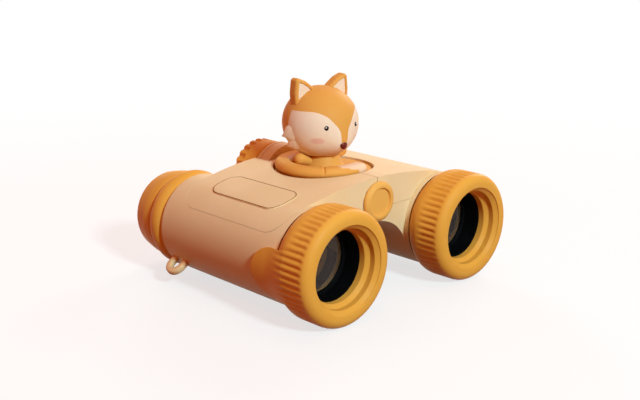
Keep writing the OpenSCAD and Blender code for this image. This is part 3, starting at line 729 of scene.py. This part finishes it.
def thumb_tongue(side, centre):
    """A bent tab behind the ring on the outer side, with the ends of the ring's ribs in its top."""
    bm = tongue_blank()
    rim = [e for e in bm.edges if e.calc_face_angle(0) > TONGUE_RIM and all(on_top(v) for v in e.verts)]
    round_edges(bm, rim, TONGUE_ROUND, 4)
    turn_about(bm, outward_turn(side, TONGUE_DROP / BARREL_R), "Y")
    for vert in bm.verts:
        flat = Vector((vert.co.x, 0, vert.co.z))
        if flat.length > TONGUE_UNDER + RIB_SKIN:
            spare = flat.length - TONGUE_UNDER - RIB_FLOOR
            vert.co -= flat.normalized() * min(rib_shift(side, vert.co), spare)
    bmesh.ops.translate(bm, verts=bm.verts, vec=centre)
    return bm


def bezel_outline():
    """Two straight steps with slopes at 45 degrees, from the lip down to the clear opening."""
    front, back = span("left_bezel")
    mouth = front + LIP_R - MOUTH_R
    step = mouth + MOUTH_L
    return rounded([
        (BORE_R, front, 0), (LIP_R, front, BEZEL_CORNER), (MOUTH_R, mouth, STEP_ROUND),
        (MOUTH_R, step, STEP_ROUND), (CLEAR_R, step + MOUTH_R - CLEAR_R, STEP_ROUND),
        (CLEAR_R, back, 0), (BORE_R, back, 0),
    ])


def front_rings():
    """Ribbed amber rings with their thumb tongues, and the stepped bezels inside them."""
    for side in SIDES:
        centre = axis_of(side)
        body = f"{side}_half"
        ring = joined([ring_band(side, centre), thumb_tongue(side, centre)])
        node = f"{side}_front_ring"
        add_piece(f"{side}_ribbed_ring", ring, [AMBER], body, [node], sharp=50)
        bezel = spun(bezel_outline(), centre, 160)
        add_piece(f"{side}_stepped_bezel", bezel, [AMBER], body, [f"{side}_bezel"])


# Optics

OPTIC_STEPS = 128
RIDGES = 3
RIDGE_START = 0.7 * MM
RIDGE_PITCH = 1.9 * MM
RIDGE_W = 1.2 * MM
RIDGE_H = 0.15 * MM
CELL_CORNER = 0.1 * MM
STOP_R = 10.4 * MM
STOP_Y = 13 * MM
STOP_T = 1 * MM
STOP_CORNER = 0.2 * MM
POCKET_R = 12.1 * MM
LENS_R = reach("left_objective_lens", 0)
LENS_DOME_R = 10.35 * MM
LENS_BULGE = 0.9 * MM
RETAINER_GAP = 0.1 * MM
RETAINER_CORNER = 0.25 * MM


def cell_outline():
    """The cell's wall: baffle ridges, the stop in front of the lens, and the lens's pocket."""
    front, back = span("left_objective_cell")
    wall = [(BORE_R, front, CELL_CORNER), (CLEAR_R, front, CELL_CORNER)]
    for k in range(RIDGES):
        start = front + RIDGE_START + RIDGE_PITCH * k
        wall += [
            (CLEAR_R, start, 0), (CLEAR_R - RIDGE_H, start + RIDGE_W / 2, CELL_CORNER),
            (CLEAR_R, start + RIDGE_W, 0),
        ]
    seat = STOP_Y + STOP_T
    wall += [
        (CLEAR_R, STOP_Y, CELL_CORNER), (STOP_R, STOP_Y, STOP_CORNER), (STOP_R, seat, CELL_CORNER),
        (POCKET_R, seat, 0), (POCKET_R, back, 0), (BORE_R, back, CELL_CORNER),
    ]
    return rounded(wall, 3)


def lens_outline():
    """A lens with two domed faces and a flat edge between them."""
    front, back = span("left_objective_lens")
    bend = (LENS_DOME_R ** 2 + LENS_BULGE ** 2) / (2 * LENS_BULGE)
    sweep = math.degrees(math.asin(LENS_DOME_R / bend))
    near_dome = arc((0, front + bend), bend, -90, -90 + sweep, 24)
    edge = [Vector((LENS_R, front + LENS_BULGE)), Vector((LENS_R, back - LENS_BULGE))]
    far_dome = arc((0, back - bend), bend, 90 - sweep, 90, 24)
    return near_dome + edge + far_dome


def retainer_outline():
    """The ring behind the lens, with its inner edges rounded."""
    front, back = span("left_lens_retainer")
    front += RETAINER_GAP
    return rounded([
        (STOP_R, front, RETAINER_CORNER), (STOP_R, back, RETAINER_CORNER),
        (LENS_R, back, 0), (LENS_R, front, 0),
    ])


def optics():
    """Objective cells with baffle ridges, smooth lenses, and the rings that hold them."""
    for side in SIDES:
        centre = axis_of(side)
        body = f"{side}_half"
        cell = spun(cell_outline(), centre, OPTIC_STEPS)
        add_piece(f"{side}_black_cell", cell, [BLACK], body, [f"{side}_objective_cell"])
        lens = spun(lens_outline(), centre, OPTIC_STEPS)
        add_piece(f"{side}_front_glass", lens, [GLASS], body, [f"{side}_objective_lens"])
        ring = spun(retainer_outline(), centre, OPTIC_STEPS)
        add_piece(f"{side}_glass_ring", ring, [SAND], body, [f"{side}_lens_retainer"])


# Eyepieces

COLLAR_ROUND = 0.25 * MM
CUP_BORE_R = 12.35 * MM
CUP_MOUTH_R = 12.4 * MM
CUP_WELL_R = 8.7 * MM
CUP_SEAT = 3.6 * MM
CUP_FLOOR_T = 1 * MM
CUP_CORNER = 0.3 * MM
# Outer skin of the cup from its foot to its rim: radius, distance from the foot, corner radius
CUP_SKIN = in_mm([(14.9, 0, 0.4), (15.3, 1.55, 2), (15.25, 4.35, 6), (14.2, 9.45, 3), (13.5, 10.75, 0.7)])


def cup_outline():
    """An eyecup that swells a little behind its foot and has a cone inside its rim."""
    front, back = span("left_eyecup")
    seat = front + CUP_SEAT
    skin = [(r, front + y, corner) for r, y, corner in CUP_SKIN]
    well = [
        (CUP_MOUTH_R, back, CUP_CORNER), (CUP_WELL_R, seat + CUP_FLOOR_T, CUP_CORNER),
        (CUP_WELL_R, seat, 0), (CUP_BORE_R, seat, 0),
    ]
    return rounded([(CUP_BORE_R, front, 0)] + skin + well, 8)


def eyepieces():
    """Eye rings with their arms, and the eyecups behind them."""
    for side in SIDES:
        body = f"{side}_eyepiece"
        collar = softened(f"{side}_eye_ring", COLLAR_ROUND, 3)
        add_piece(f"{side}_eye_collar", collar, [AMBER], body, [f"{side}_eye_ring"])
        cup = spun(cup_outline(), axis_of(side), OPTIC_STEPS)
        add_piece(f"{side}_soft_eyecup", cup, [AMBER], body, [f"{side}_eyecup"])


# Strap loops

LOOP_DROP = math.radians(37)
LOOP_BAR = 1.15 * MM
LOOP_SQUARE_SHARE = 0.16
LOOP_HALF = 2.8 * MM
LOOP_REACH = 2.2 * MM
LOOP_SINK = 0.6 * MM


def strap_loop(side):
    """A staple of slightly squared bar, whose legs sink into the barrel's wall."""
    leg = Vector((LOOP_REACH + LOOP_SINK, 0, 0))
    bm = bmesh.new()
    bmesh.ops.create_circle(bm, cap_ends=True, segments=28, radius=LOOP_BAR)
    for vert in bm.verts:
        vert.co *= 1 + LOOP_SQUARE_SHARE * (1 - abs(vert.co.x ** 2 - vert.co.y ** 2) / LOOP_BAR ** 2)
    turn_about(bm, math.pi / 2, "Y")
    bmesh.ops.translate(bm, verts=bm.verts, vec=(BARREL_R - LOOP_SINK, -LOOP_HALF, 0))
    end = drawn_out(bm, bm.faces[:], leg)
    turned = bmesh.ops.spin(
        bm, geom=end + list(end[0].edges) + list(end[0].verts), cent=(BARREL_R + LOOP_REACH, 0, 0),
        axis=UP, angle=math.pi, steps=18,
    )["geom_last"]
    drawn_out(bm, [g for g in turned if isinstance(g, bmesh.types.BMFace)], -leg)
    bmesh.ops.remove_doubles(bm, verts=bm.verts, dist=WELD)
    bmesh.ops.recalc_face_normals(bm, faces=bm.faces)
    turn_about(bm, outward_turn(side, LOOP_DROP), "Y")
    place = Vector((SIDES[side] * BARREL_X, middle(f"{side}_strap_loop").y, BARREL_Z))
    bmesh.ops.translate(bm, verts=bm.verts, vec=place)
    return bm


def strap_loops():
    """A loop low on the outer side of each barrel."""
    for side in SIDES:
        name = f"{side}_strap_staple"
        add_piece(name, strap_loop(side), [PALE_SAND], f"{side}_half", [f"{side}_strap_loop"])


# Hinge and focus

CAP_R = reach("hinge_cap", 0)
CAP_T = 1.75 * MM
CAP_DISH = 0.8 * MM
CAP_DISH_R = 4.45 * MM
CAP_LIP_R = 4.65 * MM
CAP_CROWN_R = 5.5 * MM
CAP_PEG_R = 2.2 * MM
WHEEL_ROUND = 0.2 * MM


def cap_outline():
    """The hinge cap: a round rim about a shallow dish, on a peg."""
    front, back = span("hinge_cap")
    dish = front + CAP_DISH
    under = front + CAP_T
    return rounded([
        (0, dish, 0), (CAP_DISH_R, dish, 0.15 * MM), (CAP_LIP_R, front, 0.25 * MM),
        (CAP_CROWN_R, front, 0.9 * MM), (CAP_R, dish, 0.7 * MM), (CAP_R, under, 0.2 * MM),
        (CAP_PEG_R, under, 0), (CAP_PEG_R, back, 0), (0, back, 0),
    ])


def hinge_and_focus():
    """The dished hinge cap and the notched focus wheel."""
    cap = spun(cap_outline(), Vector((0, LIP_Y, HINGE_Z)), 96)
    # The cap's paler amber is painted light
    add_piece("dished_hinge_cap", cap, [LIT_CAP_AMBER], "hinge_core", ["hinge_cap"])
    wheel = softened("focus_wheel", WHEEL_ROUND)
    add_piece("notched_wheel", wheel, [AMBER], "focus_wheel", ["focus_wheel"])


# Fox's head, made about its own middle

NOSE_DROP = 5.3 * MM
MUZZLE_OUT = 1.4 * MM
MUZZLE_W = 4.6 * MM
CHIN = -10.3 * MM
CHIN_SHARE = 0.05
# Outline of an ear: across, up and corner radius
EAR_OUTLINE = in_mm([
    (10.6, 5.0, 0), (11.0, 10.5, 5), (10.4, 16.05, 1.2), (6.4, 14.4, 5), (2.4, 11.3, 0), (4.5, 5.5, 0),
])
EAR_T = 4.2 * MM
EAR_BACK = 0.7 * MM
EAR_ROUND = 1 * MM
LINING_EDGE = 0.12 * MM
LINING_SLOPE = 0.15 * MM
LINING_DEPTH = 0.45 * MM
# Each tuft's degrees round from the nose, height and length
TUFTS = ((86, -2.2 * MM, 4.2 * MM), (84, -5.8 * MM, 4.0 * MM))
TUFT_T = 0.9 * MM
TUFT_H = 2.7 * MM
TUFT_TAPER_SHARE = 0.8
TUFT_FULL_SHARE = 0.2
TUFT_SINK = 0.45 * MM
TUFT_LIFT = math.radians(22)
TUFT_FALL = -0.35
EYE_DEG = 27.5
EYE_RISE = 0.3 * MM
EYE_R = 0.82 * MM
EYE_SINK = 0.3 * MM
# The painted highlight on each eye, a small white ball: its size and place
HIGHLIGHT_DOT_R = 0.24 * MM
HIGHLIGHT_DOT_OUT = 0.4 * MM
HIGHLIGHT_DOT_UP = 0.25 * MM
HIGHLIGHT_DOT_ACROSS = 0.22 * MM
NOSE_HALF = (1.4 * MM, 1.0 * MM, 1.45 * MM)
NOSE_FLARE_SHARE = 0.3
NOSE_TILT = math.radians(-12)
NOSE_SINK = 0.25 * MM


def head_spot(degrees, height):
    """A point on the head, by degrees round from the nose to the left half, and height over the middle."""
    radius = HEAD_R * math.sqrt(1 - (height / HEAD_HALF_HEIGHT) ** 2)
    turn = math.radians(degrees)
    return Vector((-radius * math.sin(turn), -radius * math.cos(turn), height))


def head_normal(spot):
    """The way out of the head at a point on it."""
    return Vector((spot.x / HEAD_R ** 2, spot.y / HEAD_R ** 2, spot.z / HEAD_HALF_HEIGHT ** 2)).normalized()


def fox_skull():
    """The round head, nearly flat under the chin, with a low muzzle."""
    bm = bmesh.new()
    bmesh.ops.create_icosphere(bm, subdivisions=6, radius=1)
    bmesh.ops.scale(bm, verts=bm.verts, vec=(HEAD_R, HEAD_R, HEAD_HALF_HEIGHT))
    nose = head_spot(0, -NOSE_DROP)
    out = head_normal(nose)
    for vert in bm.verts:
        vert.co += out * MUZZLE_OUT * bell((vert.co - nose).length, MUZZLE_W)
        if vert.co.z < CHIN:
            vert.co.z = CHIN + (vert.co.z - CHIN) * CHIN_SHARE
    return bm


def fox_ear(side):
    """A thick rounded triangle with a sunk pale lining."""
    outline = rounded([(SIDES[side] * x, z, corner) for x, z, corner in EAR_OUTLINE])
    bm = bmesh.new()
    face = bm.faces.new([bm.verts.new((p.x, EAR_BACK - EAR_T / 2, p.y)) for p in outline])
    drawn_out(bm, [face], (0, EAR_T, 0))
    bmesh.ops.recalc_face_normals(bm, faces=bm.faces)
    rims = [e for e in bm.edges if abs(e.verts[0].co.y - e.verts[1].co.y) < EAR_T / 2]
    round_edges(bm, rims, EAR_ROUND, 5)
    front = min(bm.faces, key=lambda f: f.normal.y * f.calc_area())
    bmesh.ops.inset_individual(bm, faces=[front], thickness=LINING_EDGE, depth=0)
    bmesh.ops.inset_individual(bm, faces=[front], thickness=LINING_SLOPE, depth=-LINING_DEPTH)
    front.material_index = SECOND_FINISH
    return bm


def cheek_tuft(side, degrees, height, length):
    """A leaf of pale fur that stands off the cheek and points back."""
    bm = bmesh.new()
    bmesh.ops.create_uvsphere(bm, u_segments=28, v_segments=16, radius=1)
    for vert in bm.verts:
        x, y, z = vert.co
        taper = 1 - TUFT_TAPER_SHARE * smooth_step(TUFT_FULL_SHARE, 1, x)
        vert.co = (x * length, y * TUFT_T, z * TUFT_H * taper)
    spot = head_spot(degrees, height)
    out = head_normal(spot)
    turn = math.radians(degrees)
    back = Vector((-math.cos(turn), math.sin(turn), TUFT_FALL))
    back = (back - out * back.dot(out)).normalized()
    lift = Matrix.Rotation(TUFT_LIFT, 3, out.cross(back))
    back, out = back @ lift, out @ lift
    lie = Matrix((back, out, back.cross(out))).transposed().to_4x4()
    bmesh.ops.transform(bm, verts=bm.verts, matrix=Matrix.Translation(spot - out * TUFT_SINK) @ lie)
    if SIDES[side] > 0:
        bmesh.ops.scale(bm, verts=bm.verts, vec=(-1, 1, 1))
    bmesh.ops.recalc_face_normals(bm, faces=bm.faces)
    return bm


def fox_eye(side):
    """A low black dome with a white dot painted on as its highlight, at its upper left as one faces the
    fox.
    """
    spot = head_spot(-SIDES[side] * EYE_DEG, EYE_RISE)
    out = head_normal(spot)
    rightwards = UP.cross(out).normalized()
    eye = bmesh.new()
    bmesh.ops.create_icosphere(eye, subdivisions=4, radius=EYE_R)
    bmesh.ops.translate(eye, verts=eye.verts, vec=spot - out * EYE_SINK)
    # The highlight is painted: a small white ball on the dome
    highlight_dot = bmesh.new()
    bmesh.ops.create_icosphere(highlight_dot, subdivisions=3, radius=HIGHLIGHT_DOT_R)
    place = spot + out * HIGHLIGHT_DOT_OUT + UP * HIGHLIGHT_DOT_UP - rightwards * HIGHLIGHT_DOT_ACROSS
    bmesh.ops.translate(highlight_dot, verts=highlight_dot.verts, vec=place)
    for face in highlight_dot.faces:
        face.material_index = SECOND_FINISH
    return joined([eye, highlight_dot])


def fox_snout():
    """The nose: wide above, drawn in below."""
    wide, deep, high = NOSE_HALF
    bm = bmesh.new()
    bmesh.ops.create_icosphere(bm, subdivisions=5, radius=1)
    for vert in bm.verts:
        x, y, z = vert.co
        vert.co = (x * wide * (1 + NOSE_FLARE_SHARE * z), y * deep, z * high)
    spot = head_spot(0, -NOSE_DROP)
    turn_about(bm, NOSE_TILT, "X")
    bmesh.ops.translate(bm, verts=bm.verts, vec=spot + head_normal(spot) * (MUZZLE_OUT - NOSE_SINK))
    return bm


# Fox's body and tail

# Outline of the body's skirt: radius, height and corner radius
SKIRT = in_mm([(0, 0.1, 0), (7.7, 0.1, 0.5), (5.9, 3.2, 8), (4.9, 5.5, 0.3), (0, 5.5, 0)])
# Shoulder and hand over the foot, in mm, for the side towards +X
SHOULDER = (3.4, 1.2, 2.75)
HAND = (9.7, 1.2, 4.62)
ARM_R = 1.7 * MM
HAND_R = 1.95 * MM
ARM_STRAIGHT_SHARE = 0.4
PLINTH_FOOT_ROUND = 0.3 * MM
PLINTH_ROUND = 0.4 * MM
TAIL_START = math.radians(-310)
TAIL_POINT = math.radians(-57)
TAIL_STEPS = 420
TAIL_GAP = 0.05 * MM
TAIL_TAPER = math.radians(20)
TAIL_TAPER_POWER = 1.8
TAIL_LEAST_SHARE = 0.02
SLIT_TURN = math.radians(-133)
SLIT_SPREAD = 0.018
SLIT_RISE = (1.6 * MM, 2.4 * MM)
SLIT_DEPTH = 0.5 * MM


def limb(start, end, thin, thick):
    """A round limb that swells to a full round end."""
    run = end - start
    outline = [Vector((0, 0)), Vector((thin, 0)), Vector((thin, run.length * ARM_STRAIGHT_SHARE))]
    outline += arc((0, run.length), thick, 0, 90, 12)
    bm = spun(outline, Vector(), 40)
    turn = ALONG.rotation_difference(run).to_matrix().to_4x4()
    bmesh.ops.transform(bm, verts=bm.verts, matrix=Matrix.Translation(start) @ turn)
    return bm


def fox_body():
    """The skirted body with both arms held out."""
    parts = [spun(rounded(SKIRT, 8), FOOT, 96, UP)]
    for k in SIDES.values():
        mirror = Vector((k * MM, MM, MM))
        parts.append(limb(FOOT + Vector(SHOULDER) * mirror, FOOT + Vector(HAND) * mirror, ARM_R, HAND_R))
    return joined(parts)


def tail_shape(out):
    """Radius and height of a point of the plain tail, once it is drawn out or cut by the slit."""
    turn = math.atan2(out.y, out.x)
    aside = math.hypot(out.x, out.y) - TAIL_R
    if TAIL_POINT - TAIL_TAPER < turn < 0:
        gone = (turn - TAIL_POINT + TAIL_TAPER) / TAIL_TAPER
        keep = max(1 - gone ** TAIL_TAPER_POWER, TAIL_LEAST_SHARE)
        return TAIL_R + aside * keep, TAIL_GAP + (out.z - TAIL_GAP) * keep
    cut = bell(turn - SLIT_TURN, SLIT_SPREAD) * smooth_step(*SLIT_RISE, out.z) * SLIT_DEPTH
    towards = Vector((aside, out.z - TAIL_H / 2))
    towards -= towards.normalized() * cut
    return TAIL_R + towards.x, TAIL_H / 2 + towards.y


def fox_tail():
    """The tail round the plinth: one fat section, drawn out to a point, with a small slit in its top."""
    half = TAIL_H / 2
    flat = TAIL_W / 2 - half
    section = arc((flat, half), half, -90, 90, 14) + arc((-flat, half), half, 90, 270, 14)
    bm = bmesh.new()
    places = [FOOT + Vector((TAIL_R + p.x, 0, p.y + TAIL_GAP)) for p in section]
    verts, edges = closed_line(bm, places)
    bmesh.ops.rotate(bm, verts=verts, cent=FOOT, matrix=Matrix.Rotation(TAIL_START, 3, "Z"))
    bmesh.ops.spin(
        bm, geom=verts + edges, cent=FOOT, axis=UP, angle=TAIL_POINT - TAIL_START, steps=TAIL_STEPS,
    )
    closed_up(bm)
    for vert in bm.verts:
        out = vert.co - FOOT
        turn = math.atan2(out.y, out.x)
        radius, height = tail_shape(out)
        vert.co = FOOT + Vector((radius * math.cos(turn), radius * math.sin(turn), height))
    bmesh.ops.remove_doubles(bm, verts=bm.verts, dist=NODE_WELD)
    return bm


def fox():
    """The figure on its plinth."""
    body = "hinge_core"
    plinth = rounded([
        (0, -PLINTH_T, 0), (PLINTH_R, -PLINTH_T, PLINTH_FOOT_ROUND), (PLINTH_R, 0, PLINTH_ROUND), (0, 0, 0),
    ])
    add_piece("fox_plinth_disc", spun(plinth, FOOT, 128, UP), [COAT], body, ["figure_plinth"])
    add_piece("fox_tail_curl", fox_tail(), [TAIL], body, ["fox_tail", "fox_tail_tip"])
    add_piece("fox_body", fox_body(), [COAT], body, ["fox_torso"])
    ears = joined([fox_ear(side) for side in SIDES])
    tufts = joined([cheek_tuft(side, *tuft) for side in SIDES for tuft in TUFTS])
    eyes = joined([fox_eye(side) for side in SIDES])
    head = {
        "fox_skull": (fox_skull(), [FACE], "fox_orange", ["fox_head"]),
        "fox_ears": (ears, [COAT, CREAM], "fox_orange", []),
        "fox_cheek_tufts": (tufts, [CREAM], "fox_cream", []),
        # The eyes carry their painted highlight dots
        "fox_glossy_eyes": (eyes, [JET, HIGHLIGHT_WHITE], "black_gloss", ["fox_eyes"]),
        "fox_snout": (fox_snout(), [NOSE], "fox_nose", ["fox_nose"]),
    }
    for name, (bm, materials, slot, replaced) in head.items():
        bmesh.ops.transform(bm, verts=bm.verts, matrix=HEAD_PLACE)
        add_piece(name, bm, materials, body, replaced, sharp=50)


def paint_frame():
    """Finishes of the CAD nodes that stay as they are."""
    finishes = {
        "sand_shell": SAND, "amber_trim": AMBER, "fox_orange": COAT, "fox_cream": CREAM, "fox_nose": NOSE,
        "black_gloss": JET, "black_plastic": BLACK, "lens_glass": GLASS, "steel": STEEL,
    }
    for part in frame["record"]["subparts"]:
        mesh = frame["nodes"][part["node"]].data
        mesh.materials.clear()
        mesh.materials.append(finishes[part["material_slot"]])


# Camera, floor and light

FLOOR_R = 0.9
FLOOR_BOUNCE = (0.24, 0.07, 0.035, 1)
FLOOR_WHITE = (0.98, 0.97, 0.96, 1)
SHADOW_REACH = 0.22
SHADOW_SOFT = 0.16
SHADOW_WHITE_SHARE = 0.7
SURROUND_WARM = (1.0, 0.21, 0.055, 1)
SURROUND_STRENGTH = 0.5
LAMPS_AIM = Vector((0, 0, 30 * MM))


def camera():
    """The camera of the photograph."""
    data = bpy.data.cameras.new("camera")
    data.sensor_width = 36
    data.lens = VIEW_LENS
    data.clip_start = 0.01
    eye = bpy.data.objects.new("camera", data)
    level = math.cos(VIEW_ELEVATION)
    ahead = Vector((
        math.sin(VIEW_AZIMUTH) * level, math.cos(VIEW_AZIMUTH) * level, -math.sin(VIEW_ELEVATION),
    ))
    eye.location = VIEW_EYE
    eye.rotation_euler = ahead.to_track_quat("-Z", "Y").to_euler()
    bpy.context.scene.collection.objects.link(eye)
    bpy.context.scene.camera = eye


def area_light(name, place, size, power, colour=(1, 1, 1), shows=True):
    """A square soft box that faces the object, and that gloss shows or doesn't."""
    data = bpy.data.lights.new(name, "AREA")
    data.size = size
    data.energy = power
    data.color = colour
    lamp = bpy.data.objects.new(name, data)
    lamp.visible_glossy = shows
    lamp.location = place
    lamp.rotation_euler = (LAMPS_AIM - Vector(place)).to_track_quat("-Z", "Y").to_euler()
    bpy.context.scene.collection.objects.link(lamp)


def seen_rays(nodes, link):
    """1 for what the camera, a reflection or glass shows, as against light that falls on something."""
    sum_of = sums(nodes, link)
    path = nodes.new("ShaderNodeLightPath")
    shown = sum_of("MAXIMUM", path.outputs["Is Camera Ray"], path.outputs["Is Glossy Ray"])
    return sum_of("MAXIMUM", shown, path.outputs["Is Transmission Ray"])


def pale_floor():
    """The floor: white to the eye away from the object, with the object's shadow kept near it."""
    material, nodes, link, shader = base_material("pale_floor")
    sum_of = sums(nodes, link)
    shown = seen_rays(nodes, link)
    bounce = nodes.new("ShaderNodeRGB")
    bounce.outputs[0].default_value = FLOOR_BOUNCE
    link(painted(nodes, link, bounce.outputs[0], FLOOR_WHITE, shown), shader.inputs["Base Color"])
    shader.inputs["Roughness"].default_value = 0.9
    shader.inputs["Specular IOR Level"].default_value = 0
    white = nodes.new("ShaderNodeEmission")
    mix = nodes.new("ShaderNodeMixShader")
    x, y, _ = centred(nodes, link, (0, 0, 0))
    away = sum_of("SUBTRACT", flat_length(sum_of, x, y), SHADOW_REACH)
    far = edge_mask(nodes, link, away, SHADOW_SOFT)
    share = sum_of("ADD", sum_of("MULTIPLY", far, 1 - SHADOW_WHITE_SHARE), SHADOW_WHITE_SHARE)
    link(sum_of("MULTIPLY", shown, share), mix.inputs["Fac"])
    link(shader.outputs[0], mix.inputs[1])
    link(white.outputs[0], mix.inputs[2])
    link(mix.outputs[0], nodes["Material Output"].inputs["Surface"])
    return material


def surround():
    """A world that looks white, and lights the shaded sides warmly."""
    world = bpy.data.worlds.new("studio")
    bpy.context.scene.world = world
    world.use_nodes = True
    nodes, link = world.node_tree.nodes, world.node_tree.links.new
    warm = nodes["Background"]
    warm.inputs["Color"].default_value = SURROUND_WARM
    warm.inputs["Strength"].default_value = SURROUND_STRENGTH
    white = nodes.new("ShaderNodeBackground")
    white.inputs["Color"].default_value = (1, 1, 1, 1)
    mix = nodes.new("ShaderNodeMixShader")
    link(seen_rays(nodes, link), mix.inputs["Fac"])
    link(warm.outputs[0], mix.inputs[1])
    link(white.outputs[0], mix.inputs[2])
    link(mix.outputs[0], nodes["World Output"].inputs["Surface"])


def studio():
    """Pale floor, the surround and four soft lamps."""
    scene = bpy.context.scene
    scene.view_settings.view_transform = "Standard"
    floor = bpy.data.meshes.new("floor")
    bm = bmesh.new()
    bmesh.ops.create_circle(bm, cap_ends=True, segments=96, radius=FLOOR_R)
    bm.to_mesh(floor)
    bm.free()
    floor.materials.append(pale_floor())
    ground = bpy.data.objects.new("floor", floor)
    scene.collection.objects.link(ground)
    surround()
    area_light("key", (-0.16, -0.78, 0.54), size=0.12, power=8.1, colour=(0.63, 0.95, 1))
    area_light("top", (0.0, 0.1, 0.9), size=0.5, power=0.7, colour=(1, 0.97, 0.94))
    area_light("rim", (0.7, 0.2, 0.35), size=0.3, power=2)
    area_light("rear", (0.45, 0.85, 0.2), size=0.35, power=7, colour=(0.72, 0.96, 1), shows=False)


camera()
paint_frame()
shells()
front_rings()
optics()
eyepieces()
strap_loops()
hinge_and_focus()
fox()
studio()
